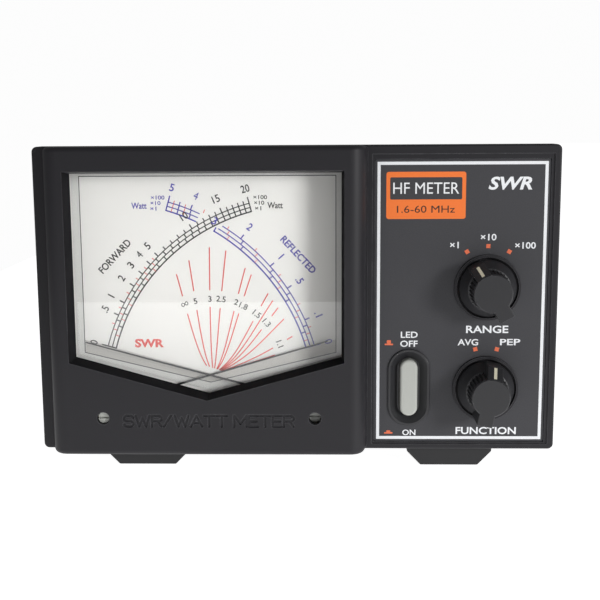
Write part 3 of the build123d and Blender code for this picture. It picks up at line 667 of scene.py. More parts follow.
def mark_row_tree():
    """A row of marks on a scale: mark i stands at First Power + Power Step * i watts."""
    found = bpy.data.node_groups.get("Mark Row")
    if found:
        return found
    tree, start, end = repeat_tree("Mark Row", [
        ("Pivot", (0.0, 0.0, 0.0)), ("Side", 1.0), ("Zero Angle", 0.0), ("Sweep", 1.0),
        ("Full Power", 20.0), ("Power Law", 0.5), ("Band Lag", 0.0), ("Lag End", 15.0), ("Thickness", 0.04),
        ("First Power", 1.0), ("Power Step", 1.0), ("Count", 1), ("Inner Radius", 75.0),
        ("Outer Radius", 78.0), ("Mark Width", 0.4), ("Bands In", 0.0)])
    get = start.outputs
    index = tree.nodes.new("GeometryNodeInputIndex").outputs[0]
    power = math_node(tree, "ADD", math_node(tree, "MULTIPLY", index, get["Power Step"]), get["First Power"])
    share = math_node(tree, "POWER", math_node(tree, "DIVIDE", power, get["Full Power"]), get["Power Law"])
    to_go = math_node(tree, "SUBTRACT", 1.0, math_node(tree, "DIVIDE", power, get["Lag End"]))
    lag = math_node(tree, "MULTIPLY", math_node(tree, "MAXIMUM", to_go, 0.0),
                    math_node(tree, "MULTIPLY", get["Band Lag"], get["Bands In"]))
    level = math_node(tree, "ADD", math_node(tree, "MULTIPLY", share, get["Sweep"]), get["Zero Angle"])
    angle = math_node(tree, "SUBTRACT", level, lag)
    both = math_node(tree, "ADD", get["Inner Radius"], get["Outer Radius"])
    radius = math_node(tree, "MULTIPLY", both, 0.5)
    along = math_node(tree, "MULTIPLY", math_node(tree, "MULTIPLY", math_node(tree, "COSINE", angle), radius),
                      math_node(tree, "MULTIPLY", get["Side"], -1.0))
    up = math_node(tree, "MULTIPLY", math_node(tree, "SINE", angle), radius)
    spot = tree.nodes.new("ShaderNodeVectorMath")
    tree.links.new(combine(tree, along, 0.0, up), spot.inputs[0])
    tree.links.new(get["Pivot"], spot.inputs[1])

    points = tree.nodes.new("GeometryNodePoints")
    tree.links.new(get["Count"], points.inputs["Count"])
    tree.links.new(spot.outputs[0], points.inputs["Position"])
    reach = math_node(tree, "SUBTRACT", get["Outer Radius"], get["Inner Radius"])
    bar = tree.nodes.new("GeometryNodeMeshCube")
    tree.links.new(combine(tree, reach, get["Thickness"], get["Mark Width"]), bar.inputs["Size"])
    placed = tree.nodes.new("GeometryNodeInstanceOnPoints")
    tree.links.new(points.outputs[0], placed.inputs["Points"])
    tree.links.new(bar.outputs["Mesh"], placed.inputs["Instance"])
    turn = combine(tree, 0.0, math_node(tree, "MULTIPLY", angle, get["Side"]), 0.0)
    tree.links.new(turn, placed.inputs["Rotation"])
    tree.links.new(placed.outputs[0], end.inputs[0])
    return tree


def graduation_tree(name, rows):
    """All the marks of one scale in one ink. A row is (first, step, count, inner and outer radius, width,
    bands in)."""
    shared = [("Pivot", (0.0, 0.0, 0.0)), ("Side", 1.0), ("Zero Angle", 0.0), ("Sweep", 1.0),
              ("Full Power", 20.0), ("Power Law", 0.5), ("Band Lag", 0.0), ("Lag End", 15.0),
              ("Thickness", 0.04)]
    tree, start, end = repeat_tree(name, shared + [("Ink", None)])
    join = tree.nodes.new("GeometryNodeJoinGeometry")
    for first, step, count, inner, outer, width, bands_in in rows:
        row = tree.nodes.new("GeometryNodeGroup")
        row.node_tree = mark_row_tree()
        for label, _ in shared:
            tree.links.new(start.outputs[label], row.inputs[label])
        values = (("First Power", first), ("Power Step", step), ("Count", count), ("Inner Radius", inner),
                  ("Outer Radius", outer), ("Mark Width", width), ("Bands In", float(bands_in)))
        for label, value in values:
            row.inputs[label].default_value = value
        tree.links.new(row.outputs[0], join.inputs[0])
    realize = tree.nodes.new("GeometryNodeRealizeInstances")
    tree.links.new(join.outputs[0], realize.inputs[0])
    paint = tree.nodes.new("GeometryNodeSetMaterial")
    tree.links.new(realize.outputs[0], paint.inputs["Geometry"])
    tree.links.new(start.outputs["Ink"], paint.inputs["Material"])
    tree.links.new(paint.outputs[0], end.inputs[0])
    return tree


def thread_tree():
    """An outside thread: a ridge of triangular section wound round a cylinder along the depth axis."""
    tree, start, end = repeat_tree("Outside Thread", [
        ("Middle", (0.0, 0.0, 0.0)), ("Radius", 7.6), ("Length", 12.0), ("Pitch", 1.06),
        ("Ridge", 0.42), ("Metal", None)])
    get = start.outputs
    spiral = tree.nodes.new("GeometryNodeCurveSpiral")
    spiral.inputs["Resolution"].default_value = 40
    tree.links.new(math_node(tree, "DIVIDE", get["Length"], get["Pitch"]), spiral.inputs["Rotations"])
    for label in ("Start Radius", "End Radius"):
        tree.links.new(get["Radius"], spiral.inputs[label])
    tree.links.new(get["Length"], spiral.inputs["Height"])
    section = tree.nodes.new("GeometryNodeCurvePrimitiveCircle")
    section.inputs["Resolution"].default_value = 4
    tree.links.new(get["Ridge"], section.inputs["Radius"])
    sweep = tree.nodes.new("GeometryNodeCurveToMesh")
    sweep.inputs["Fill Caps"].default_value = True
    tree.links.new(spiral.outputs[0], sweep.inputs["Curve"])
    tree.links.new(section.outputs[0], sweep.inputs["Profile Curve"])
    lay = tree.nodes.new("GeometryNodeTransform")
    lay.inputs["Rotation"].default_value = (radians(-90), 0, 0)
    tree.links.new(get["Middle"], lay.inputs["Translation"])
    tree.links.new(sweep.outputs[0], lay.inputs["Geometry"])
    realize = tree.nodes.new("GeometryNodeRealizeInstances")
    tree.links.new(lay.outputs[0], realize.inputs[0])
    paint = tree.nodes.new("GeometryNodeSetMaterial")
    tree.links.new(realize.outputs[0], paint.inputs["Geometry"])
    tree.links.new(get["Metal"], paint.inputs["Material"])
    tree.links.new(paint.outputs[0], end.inputs[0])
    return tree


def grow(name, tree, **values):
    """Run a tree on an empty mesh and return the result as a plain drawn mesh."""
    holder = bpy.data.objects.new(name + "_maker", bpy.data.meshes.new(name + "_maker"))
    bpy.context.scene.collection.objects.link(holder)
    modifier = holder.modifiers.new("Maker", "NODES")
    modifier.node_group = tree
    sockets = {item.name: item.identifier for item in tree.interface.items_tree if item.in_out == "INPUT"}
    for label, value in values.items():
        modifier[sockets[label.replace("_", " ")]] = value
    mesh = bpy.data.meshes.new_from_object(holder.evaluated_get(bpy.context.evaluated_depsgraph_get()))
    holder.modifiers.remove(modifier)
    bpy.data.objects.remove(holder)
    bm = bmesh.new()
    bm.from_mesh(mesh)
    bpy.data.meshes.remove(mesh)
    return bm


# ---------------------------------------------------------------- printed dial

# The border line on the dial: half its width, and the heights of its top, its lower corners and its V.
DIAL_HALF, DIAL_TOP, DIAL_SIDE, DIAL_APEX = 46.9, 101.2, 35.7, 24.3
NUMERAL_WIDTH = {"1": None, "10": 2.7, "15": 2.7, "20": 3.1, ".5": 2.2, ".1": None}
NARROW_NUMERAL = 1.6


def dial_outline(grow_by=0.0):
    """The five-sided line round the dial: level top, straight sides and a shallow V below."""
    half = DIAL_HALF + grow_by
    top, side, apex = DIAL_TOP + grow_by, DIAL_SIDE - grow_by * 0.7, DIAL_APEX - grow_by
    return [(METER_X - half, top), (METER_X - half, side), (METER_X, apex), (METER_X + half, side),
            (METER_X + half, top)]


def scale_rows(side, long_marks, short_marks, rungs, width):
    """Marks outside the scale, and a ladder of rungs in its two bands. Marks are (first, step, count)."""
    low, middle, top = RING_R[side]
    rows = [(0.0, 1.0, 1, low - 0.2, top + 2.5, width, 0),
            (FULL_POWER[side], 1.0, 1, low - 0.2, top + 2.4, width, 0)]
    rows += [(*marks_at, top, top + 1.9, width, 0) for marks_at in long_marks]
    rows += [(*marks_at, top, top + 1.35, width * 0.9, 0) for marks_at in short_marks]
    for marks_at in rungs:
        rows += [(*marks_at, middle, top, width * 0.95, 1), (*marks_at, low, middle, width * 0.95, 2)]
    return rows


def marks(name, side, rows, material):
    """Print rows of marks on a scale."""
    bm = grow(name, graduation_tree(name.replace("_", " ").title(), rows),
              Pivot=(PIVOT[side].x, sum(INK) / 2, PIVOT[side].z), Side=float(side),
              Zero_Angle=radians(ZERO_ANGLE[side]), Sweep=radians(SWEEP[side]), Full_Power=FULL_POWER[side],
              Power_Law=POWER_LAW[side], Band_Lag=radians(BAND_LAG[side]), Lag_End=LAG_END[side],
              Thickness=INK[1] - INK[0], Ink=material)
    return add_piece(name, bm, material)


def numeral(bm, side, power, words, height, width=None, radius=None):
    """A numeral on a scale, its top pointing away from the pivot."""
    angle = scale_angle(side, power)
    place = at_angle(side, angle, radius or NUMERAL_R[side])
    lettering(bm, words, place, height, width, side * (90 - angle), 0.012, 0.0, *OVER_INK)


def scale_numerals(side, named, height):
    """All the numerals of a scale, as (power, words)."""
    bm = bmesh.new()
    for power, words in named:
        numeral(bm, side, power, words, height, NUMERAL_WIDTH.get(words, NARROW_NUMERAL))
    return bm


class METER_OT_forward_scale(bpy.types.Operator):
    """Print the black forward power scale, its marks and its numerals"""
    bl_idname = "meter.forward_scale"
    bl_label = "Forward Scale"

    def execute(self, context):
        s = context.scene.meter_dial
        black, red = ink("black_ink", tuple(s.black_ink)), ink("red_ink", tuple(s.red_ink))
        zero = ZERO_ANGLE[FORWARD]
        bm = bmesh.new()
        for radius, weight in zip(RING_R[FORWARD], (1.3, 1.0, 1.0)):
            ribbon(bm, scale_arc(FORWARD, radius, zero, zero + SWEEP[FORWARD]), s.arc_width * weight, *INK)
        ribbon(bm, [at_angle(FORWARD, zero, r) for r in RING_R[FORWARD][::2]], s.arc_width, *INK)
        add_piece("forward_scale_arcs", bm, black)
        rows = scale_rows(FORWARD, [(0.5, 1.0, 1), (1.0, 1.0, 5), (10.0, 5.0, 2)],
                          [(6.0, 1.0, 4), (11.0, 1.0, 4), (16.0, 1.0, 4)],
                          [(0.5, 1.0, 1), (1.0, 1.0, 19)], s.mark_width)
        marks("forward_marks", FORWARD, rows, black)
        low, middle, top = RING_R[FORWARD]
        halves = []
        for at in ((0.25, 0.5, 2), (1.5, 1.0, 4)):
            halves += [(*at, top, top + 1.2, s.half_mark_width, 0), (*at, middle, top, s.half_mark_width, 1),
                       (*at, low, middle, s.half_mark_width, 2)]
        marks("forward_half_marks", FORWARD, halves, red)
        named = ((0, "0"), (0.5, ".5"), (1, "1"), (2, "2"), (3, "3"), (4, "4"), (5, "5"), (10, "10"),
                 (15, "15"), (20, "20"))
        add_piece("forward_numerals", scale_numerals(FORWARD, named, s.numeral_height), black)
        return {"FINISHED"}


# Angles in degrees where the reflected scale's three arcs stop for the forward scale, and start again.
ARC_STOPS = (59.3, 58.4, 57.8)
ARC_RESUMES = 64.7


class METER_OT_reflected_scale(bpy.types.Operator):
    """Print the blue reflected power scale, which stops short of the forward scale that crosses it"""
    bl_idname = "meter.reflected_scale"
    bl_label = "Reflected Scale"

    def execute(self, context):
        s = context.scene.meter_dial
        blue, red = ink("blue_ink", tuple(s.blue_ink)), ink("red_ink", tuple(s.red_ink))
        zero, low, middle, top = ZERO_ANGLE[REFLECTED], *RING_R[REFLECTED]
        bm = bmesh.new()
        full = zero + SWEEP[REFLECTED]
        for radius, weight, stop in zip(RING_R[REFLECTED], (1.3, 1.0, 1.0), ARC_STOPS):
            for start, end in ((zero, stop), (ARC_RESUMES, full)):
                ribbon(bm, scale_arc(REFLECTED, radius, start, end), s.arc_width * weight, *INK)
        ribbon(bm, [at_angle(REFLECTED, zero, r) for r in (low, top)], s.arc_width, *INK)
        add_piece("reflected_scale_arcs", bm, blue)
        rows = scale_rows(REFLECTED, [(0.1, 0.4, 2), (1.0, 1.0, 2), (4.0, 1.0, 1)], [(4.5, 1.0, 1)],
                          [(0.1, 0.4, 2), (1.0, 1.0, 2), (4.0, 0.5, 2)], s.mark_width)
        rows.append((3.0, 1.0, 1, low, middle, s.mark_width, 2))
        marks("reflected_marks", REFLECTED, rows, blue)
        halves = [(3.5, 1.0, 1, top + 0.8, top + 2.2, s.half_mark_width, 0)]
        for at in ((0.05, 0.2, 2), (0.75, 0.75, 2), (2.5, 1.0, 1), (4.25, 0.5, 2)):
            halves += [(*at, top, top + 1.2, s.half_mark_width, 0), (*at, middle, top, s.half_mark_width, 1),
                       (*at, low, middle, s.half_mark_width, 2)]
        marks("reflected_half_marks", REFLECTED, halves, red)
        named = ((0, "0"), (0.1, ".1"), (0.5, ".5"), (1, "1"), (2, "2"), (4, "4"), (5, "5"))
        bm = scale_numerals(REFLECTED, named, s.numeral_height)
        numeral(bm, REFLECTED, 3, "3", s.numeral_height, 1.6, 78.4)
        add_piece("reflected_numerals", bm, blue)
        return {"FINISHED"}


# SWR curves: (name on the dial, reflected share of full scale over forward share). Those without a name
# are the curves of 1.4, 1.2 and 1.0.
SWR_CURVES = (
    ("∞", 1.64), ("5", 1.315), ("3", 0.993), ("2.5", 0.805), ("2", 0.594), ("1.8", 0.528), ("1.5", 0.352),
    ("", 0.299), ("1.3", 0.244), ("", 0.173), ("1.1", 0.071), ("", 0.012),
)
FAN_FOOT = (-31.0, 29.5)
LABEL_REACH = 26.4
LABEL_GAP = 2.9


def crossing(ratio, share):
    """Where the needles cross when the forward one shows this share of its full deflection."""
    a = radians(ZERO_ANGLE[FORWARD] + SWEEP[FORWARD] * share)
    b = radians(ZERO_ANGLE[REFLECTED] + SWEEP[REFLECTED] * share * ratio)
    forward, reflected = PIVOT[FORWARD], PIVOT[REFLECTED]
    span, rise = forward.x - reflected.x, forward.z - reflected.z
    reach = (span * sin(a) + rise * cos(a)) / sin(a + b)
    return reflected.x + reach * cos(b), reflected.z + reach * sin(b)


def swr_line(ratio, reach_forward, reach_reflected):
    """The curve of one SWR, from the foot of the fan to just inside the scale arcs."""
    line = []
    for i in range(6, 112):
        x, z = crossing(ratio, i / 100)
        forward, reflected = PIVOT[FORWARD], PIVOT[REFLECTED]
        if hypot(x - forward.x, z - forward.z) > reach_forward and ratio > 0.9:
            break
        if hypot(x - reflected.x, z - reflected.z) > reach_reflected:
            break
        line.append((x, z))
    return line


def infinity_sign(bm, middle, high, turn, width):
    """The sign for infinity as a drawn line."""
    points = []
    c, s = cos(radians(turn)), sin(radians(turn))
    for i in range(32):
        t = 2 * pi * (i + 0.5) / 32
        x = 1.05 * high * cos(t) / (1 + sin(t) ** 2)
        z = 1.5 * high * sin(t) * cos(t) / (1 + sin(t) ** 2)
        points.append((middle[0] + x * c - z * s, middle[1] + x * s + z * c))
    ribbon(bm, points, width, *INK, closed=True)


class METER_OT_swr_curves(bpy.types.Operator):
    """Print the fan of red SWR curves and their names"""
    bl_idname = "meter.swr_curves"
    bl_label = "SWR Curves"

    def execute(self, context):
        s = context.scene.meter_dial
        bm, names = bmesh.new(), bmesh.new()
        for words, ratio in SWR_CURVES:
            line = swr_line(ratio, 66.9, 63.0 if ratio < 0.02 else 71.6)
            if not words:
                ribbon(bm, line, s.curve_width, *INK)
                continue
            reaches = [hypot(x - FAN_FOOT[0], z - FAN_FOOT[1]) for x, z in line]
            lower = [p for p, r in zip(line, reaches) if r < LABEL_REACH - LABEL_GAP]
            upper = [p for p, r in zip(line, reaches) if r > LABEL_REACH + LABEL_GAP]
            for part in (lower, upper):
                ribbon(bm, part, s.curve_width, *INK)
            spot = min(zip(line, reaches), key=lambda pair: abs(pair[1] - LABEL_REACH))[0]
            lean = Vector((spot[0] - FAN_FOOT[0], spot[1] - FAN_FOOT[1])).angle_signed(Vector((0, 1)))
            if words == "1.8":
                spot = (spot[0] + 0.8, spot[1] - 0.3)
            if words == "∞":
                infinity_sign(names, spot, 1.15, lean * 180 / pi, 0.3)
            else:
                lettering(names, words, spot, 2.15, None, lean * 180 / pi, 0.012, 0.0, *INK)
        add_piece("swr_curves", bm, ink("red_ink", tuple(s.red_ink)))
        add_piece("swr_names", names, ink("black_ink", tuple(s.black_ink)))
        return {"FINISHED"}


class METER_OT_dial_border(bpy.types.Operator):
    """Print the border line, and lay painted shade on the margin outside it and on the apron under the zero
    lines
    """
    bl_idname = "meter.dial_border"
    bl_label = "Dial Border"

    def execute(self, context):
        s = context.scene.meter_dial
        bm = bmesh.new()
        ribbon(bm, dial_outline(), s.border_width, *INK, closed=True)
        add_piece("dial_border_line", bm, ink("black_ink", tuple(s.black_ink)))
        # A pale grey band outside the border line: painted shade from the cover's side walls, not print.
        bm = bmesh.new()
        ribbon(bm, dial_outline(1.6), 3.0, *UNDER_INK, closed=True)
        add_piece("dial_margin_shade", bm, ink("margin_shade", tuple(s.margin_shade)))
        # A grey strip from the zero lines down to the V: painted shade from the window's V wall, not print.
        left, right = METER_X - 46.8, METER_X + 46.8
        forward, reflected = PIVOT[FORWARD], PIVOT[REFLECTED]
        corner = crossing(0.0, 0.0)
        bm = bmesh.new()
        slab(bm, [(left, forward.z + (forward.x - left) * tan(radians(ZERO_ANGLE[FORWARD]))), corner,
                  (right, reflected.z + (right - reflected.x) * tan(radians(ZERO_ANGLE[REFLECTED]))),
                  (right, 35.8), (METER_X, 24.4), (left, 35.8)], *UNDER_INK)
        add_piece("dial_apron_shade", bm, ink("apron_shade", tuple(s.apron_shade)))
        return {"FINISHED"}


# The window opening at the block's front: half its width, and the heights of its top, its lower corners and
# its V. It narrows by SHADE_SHEET_TAPER towards the back, where the corners and the V rise by these shares of
# it.
# A dark sheet of painted shade covers its walls and V from SHADE_SHEET_FRONT to SHADE_SHEET_BACK.
OPENING_HALF, OPENING_TOP, OPENING_SIDE, OPENING_APEX = 49.9, 103.4, 34.5, 20.6
SHADE_SHEET_FRONT, SHADE_SHEET_BACK, SHADE_SHEET_TAPER = -8.9, -1.1, 0.97
SIDE_RISE, APEX_RISE = 0.763, 1.041


class METER_OT_window_painted_shade(bpy.types.Operator):
    """Cover the sides and the V of the window opening with a dark sheet of painted shade"""
    bl_idname = "meter.window_lining"
    bl_label = "Window Painted Shade"

    def execute(self, context):
        # Darker and duller than the bezel's own plastic: this sheet paints the shade that lies on the
        # window's walls and V.
        shade_black = grained("shade_sheet_finish", srgb(25, 24, 27), grain=2600, contrast=0.2, rough=0.85, specular=0.12)
        lines = []
        for y, inset in ((SHADE_SHEET_FRONT, 0.0), (SHADE_SHEET_BACK, SHADE_SHEET_TAPER)):
            for lift in (INK_THICK, -INK_SUNK):
                d = inset + lift
                half, top = OPENING_HALF - d, OPENING_TOP - d
                side, apex = OPENING_SIDE + SIDE_RISE * d, OPENING_APEX + APEX_RISE * d
                shape = ((-half, top), (-half, side), (0.0, apex), (half, side), (half, top))
                lines.append([(METER_X + x, y, z) for x, z in shape])
        bm = bmesh.new()
        near_in, near_out, far_in, far_out = [[bm.verts.new(p) for p in line] for line in lines]
        loop = (near_in, far_in, far_out, near_out)
        for a, b in zip(loop, loop[1:] + loop[:1]):
            for i in range(4):
                bm.faces.new((a[i], a[i + 1], b[i + 1], b[i]))
        for end in (0, -1):
            bm.faces.new([line[end] for line in loop])
        add_piece("window_painted_shade", bm, shade_black)
        return {"FINISHED"}


class METER_OT_dial_words(bpy.types.Operator):
    """Print the plain words and range factors on the dial"""
    bl_idname = "meter.dial_words"
    bl_label = "Dial Words"

    def execute(self, context):
        s = context.scene.meter_dial
        black, blue = bmesh.new(), bmesh.new()
        lettering(black, "FORWARD", (-66.9, 71.85), 2.7, 15.8, 46.1, 0.02, 0.0, *INK)
        lettering(blue, "REFLECTED", (0.85, 72.25), 2.6, 17.2, -47.3, 0.02, 0.0, *INK)
        lettering(blue, "Watt", (-57.4, 90.45), 2.25, 5.6, 0.0, 0.018, 0.0, *INK)
        lettering(black, "Watt", (-7.55, 90.45), 2.25, 5.6, 0.0, 0.018, 0.0, *INK)
        for row, (factor, width) in enumerate((("×100", 5.0), ("×10", 3.7), ("×1", 2.3))):
            z = 93.4 - 2.02 * row
            lettering(blue, factor, (-50.45 - 0.85 * row, z), 1.45, width, 0.0, 0.014, 0.0, *INK)
            lettering(black, factor, (-12.95 - 0.4 * row, z), 1.45, width, 0.0, 0.014, 0.0, *INK)
        add_piece("dial_words_black", black, ink("black_ink", tuple(s.black_ink)))
        add_piece("dial_words_blue", blue, ink("blue_ink", tuple(s.blue_ink)))
        red = bmesh.new()
        lettering(red, "SWR", (-54.95, 39.2), 3.15, 10.85, 0.0, 0.04, 0.0, *INK)
        add_piece("dial_word_red", red, ink("red_ink", tuple(s.red_ink)))
        return {"FINISHED"}


# ---------------------------------------------------------------- printed control plate

KNOB_X = panel_middle("range_shaft").x
RANGE_Z = panel_middle("range_shaft").z
FUNCTION_Z = panel_middle("function_shaft").z
MARK_REACH = 15.2


def round_knob(z, angle, reach):
    """A place round a knob, by its clock angle in degrees from straight up."""
    return KNOB_X + reach * sin(radians(angle)), z + reach * cos(radians(angle))


class METER_OT_panel_border(bpy.types.Operator):
    """Print the pale line round the control panel"""
    bl_idname = "meter.panel_border"
    bl_label = "Panel Border"

    def execute(self, context):
        s = context.scene.meter_panel
        half = s.border_width / 2
        x = (PLATE_LOW.x + 0.8 + half, PLATE_HIGH.x - 0.9 - half)
        z = (PLATE_LOW.z + 0.8 + half, PLATE_HIGH.z - 0.8 - half)
        bm = bmesh.new()
        corners = [(x[0], z[0]), (x[1], z[0]), (x[1], z[1]), (x[0], z[1])]
        ribbon(bm, corners, s.border_width, *PANEL_INK, closed=True)
        add_piece("panel_border", bm, ink("legend_ink", tuple(s.legend_ink)))
        return {"FINISHED"}


class METER_OT_panel_legends(bpy.types.Operator):
    """Print the plain words, switch marks and button signs on the control panel"""
    bl_idname = "meter.panel_legends"
    bl_label = "Panel Legends"

    def execute(self, context):
        s = context.scene.meter_panel
        words = bmesh.new()
        for text, middle, height, width, bold in (
            ("RANGE", (69.84, 45.1), 2.75, 15.4, 0.022), ("FUNCTION", (70.1, 6.85), 2.7, 22.3, 0.022),
            ("×1", (57.35, 76.1), 2.35, 3.2, 0.018), ("×10", (69.6, 78.95), 2.35, 5.7, 0.018),
            ("×100", (82.9, 75.9), 2.35, 7.5, 0.018), ("AVG", (62.9, 40.3), 2.35, 7.5, 0.018),
            ("PEP", (78.3, 40.35), 2.35, 7.4, 0.018), ("LED", (41.44, 43.1), 2.3, 6.2, 0.018),
            ("OFF", (41.35, 39.75), 2.3, 6.4, 0.018), ("ON", (41.66, 6.1), 2.15, 4.9, 0.018),
            ("SWR", (77.0, 98.3), 4.6, 15.6, 0.03),
        ):
            slant = 0.25 if text == "SWR" else 0.0
            lettering(words, text, middle, height, width, 0.0, bold, slant, *PANEL_INK)
        add_piece("panel_legends", words, ink("legend_ink", tuple(s.legend_ink)))

        orange = bmesh.new()
        for z, angles in ((RANGE_Z, (-30, 0, 30)), (FUNCTION_Z, (-15, 15))):
            for angle in angles:
                slab(orange, turned_square(round_knob(z, angle, MARK_REACH), s.mark_size, angle), *PANEL_INK)
        for z, stem in ((39.5, 1.3), (5.9, 0.7)):
            slab(orange, rounded_box((32.45, 35.55), (z - 0.28, z + 0.28), 0.1, 2), *PANEL_INK)
            slab(orange, rounded_box((33.25, 34.75), (z + 0.28, z + 0.28 + stem), 0.3, 3), *PANEL_INK)
        add_piece("panel_marks", orange, ink("mark_ink", tuple(s.mark_ink)))
        return {"FINISHED"}


class METER_OT_badge(bpy.types.Operator):
    """Print the orange badge with plain words in its dark window and the frequency range below"""
    bl_idname = "meter.badge"
    bl_label = "Badge"

    def execute(self, context):
        s = context.scene.meter_panel
        x, z, split = (32.7, 61.2), (85.6, 102.5), 92.6
        rim = 1.35
        bm = bmesh.new()
        outer = rounded_box(x, z, 0.9)
        window = rounded_box((x[0] + rim, x[1] - rim), (split, z[1] - rim - 0.6), 0.5)
        rings = [[bm.verts.new((px, y, pz)) for px, pz in line]
                 for line in (outer, window) for y in PANEL_INK]
        near_out, far_out, near_in, far_in = rings
        count = len(outer)
        for i in range(count):
            j = (i + 1) % count
            bm.faces.new((near_out[i], near_out[j], near_in[j], near_in[i]))
            bm.faces.new((far_out[j], far_out[i], far_in[i], far_in[j]))
            bm.faces.new((near_out[j], near_out[i], far_out[i], far_out[j]))
            bm.faces.new((near_in[i], near_in[j], far_in[j], far_in[i]))
        add_piece("badge_orange", bm, ink("badge_orange", tuple(s.badge_orange)))
        bm = bmesh.new()
        lettering(bm, "HF METER", (46.95, 96.65), 4.0, 23.6, 0.0, 0.012, 0.0, *PANEL_INK)
        add_piece("badge_title", bm, ink("legend_ink", tuple(s.legend_ink)))
        bm = bmesh.new()
        lettering(bm, "1.6-60 MHz", (46.95, 89.1), 2.5, 20.8, 0.0, 0.002, 0.0, *OVER_PANEL_INK)
        add_piece("badge_range", bm, ink("badge_dark", tuple(s.badge_dark)))
        return {"FINISHED"}


# ---------------------------------------------------------------- back

def square_with_hole(bm, x, z, half, hole_r, corner, front, back, count=48):
    """A plate with round corners and a round hole in its middle."""
    outer, inner = [], []
    for i in range(count):
        a = 2 * pi * (i + 0.5) / count
        reach = half / max(abs(cos(a)), abs(sin(a)))
        px, pz = cos(a) * reach, sin(a) * reach
        excess = hypot(max(abs(px) - half + corner, 0), max(abs(pz) - half + corner, 0))
        if excess > corner:
            scale = 1 - (excess - corner) / hypot(px, pz)
            px, pz = px * scale, pz * scale
        outer.append((x + px, z + pz))
        inner.append((x + hole_r * cos(a), z + hole_r * sin(a)))
    loops = [[bm.verts.new((px, y, pz)) for px, pz in line] for line in (outer, inner) for y in (front, back)]
    near_out, far_out, near_in, far_in = loops
    for i in range(count):
        j = (i + 1) % count
        bm.faces.new((near_out[i], near_out[j], near_in[j], near_in[i]))
        bm.faces.new((far_out[j], far_out[i], far_in[i], far_in[j]))
        bm.faces.new((near_out[j], near_out[i], far_out[i], far_out[j]))
        bm.faces.new((near_in[i], near_in[j], far_in[j], far_in[i]))


def turned(bm, x, z, profile, count=64):
    """A closed profile of (radius, depth) points turned round the depth axis."""
    rings = []
    for i in range(count):
        a = 2 * pi * i / count
        rings.append([bm.verts.new((x + r * cos(a), y, z + r * sin(a))) for r, y in profile])
    for a, b in zip(rings, rings[1:] + rings[:1]):
        for k in range(len(profile)):
            n = (k + 1) % len(profile)
            bm.faces.new((a[k], a[n], b[n], b[k]))


class METER_OT_sockets(bpy.types.Operator):
    """Make the two coaxial sockets with a real outside thread on their noses"""
    bl_idname = "meter.sockets"
    bl_label = "Coaxial Sockets"

    def execute(self, context):
        metal = finish_for("nickel")
        pitch = context.scene.meter_panel.thread_pitch
        for node in ("antenna_socket", "transmitter_socket"):
            low, high = panel_box(node)
            x, z = (low.x + high.x) / 2, (low.z + high.z) / 2
            half = (high.x - low.x) / 2
            face, end = REAR_FACE, high.y
            core, bore, crest = 7.42, 6.32, 7.94
            bm = bmesh.new()
            square_with_hole(bm, x, z, half, core - 0.2, 2.0, face, face + 1.6)
            profile = ((bore, low.y), (core, low.y), (core, face + 1.6), (crest, face + 1.6),
                       (crest, face + 2.6), (core, face + 3.0), (core, end - 0.5), (core - 0.4, end),
                       (bore + 0.3, end), (bore, end - 0.3))
            turned(bm, x, z, profile)
            shell = add_piece(node + "_shell", bm, metal)
            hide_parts(node)
            ridge = crest - core
            start, run = face + 3.2, end - face - 4.0
            bm = grow(node + "_thread", thread_tree(), Middle=(x, start, z), Radius=core,
                      Length=run, Pitch=pitch, Ridge=ridge, Metal=metal)
            add_piece(node + "_thread", bm, metal)
        return {"FINISHED"}


class METER_OT_rear_legends(bpy.types.Operator):
    """Print the plain words on the back"""
    bl_idname = "meter.rear_legends"
    bl_label = "Rear Legends"

    def execute(self, context):
        s = context.scene.meter_panel
        bm = bmesh.new()
        back = (REAR_FACE + INK_THICK, REAR_FACE - INK_SUNK)
        antenna, transmitter = panel_middle("antenna_socket"), panel_middle("transmitter_socket")
        jack = panel_middle("dc_jack")
        for words, x, z, width in (("ANT", antenna.x, antenna.z + 18.5, 10.5), ("TX", transmitter.x,
                                   transmitter.z + 18.5, 7.2), ("DC 13.8 V", jack.x, jack.z + 10.5, 19.0)):
            part = bmesh.new()
            lettering(part, words, (0, 0), 3.2, width, 0.0, 0.01, 0.0, -0.5, 0.5)
            place = Matrix.Translation((x, sum(back) / 2, z)) @ Matrix.Rotation(pi, 4, "Z")
            bmesh.ops.transform(part, matrix=place @ Matrix.Diagonal((1, abs(back[0] - back[1]), 1, 1)),
                                verts=part.verts)
            mesh = bpy.data.meshes.new("part")
            part.to_mesh(mesh)
            part.free()
            bm.from_mesh(mesh)
            bpy.data.meshes.remove(mesh)
        add_piece("rear_legends", bm, ink("legend_ink", tuple(s.legend_ink)))
        return {"FINISHED"}


# ---------------------------------------------------------------- finishes of the CAD nodes

class METER_OT_front_finish(bpy.types.Operator):
    """Finish the moulded front, the control plate and the lamp button with its dish"""
    bl_idname = "meter.front_finish"
    bl_label = "Front Finish"

    def execute(self, context):
        refinish("front_bezel", "control_plate", "lamp_switch_surround", "lamp_button", "lamp_plunger",
                 "front_subpanel", "bezel_screws", "lamp_switch")
        return {"FINISHED"}


class METER_OT_knob_finish(bpy.types.Operator):
    """Finish both knobs, their pointer lines, shafts and switches"""
    bl_idname = "meter.knob_finish"
    bl_label = "Knob Finish"

    def execute(self, context):
        for name in ("range", "function"):
            refinish(*(name + part for part in ("_knob", "_knob_line", "_shaft", "_switch")))
        refinish("switch_nuts")
        return {"FINISHED"}


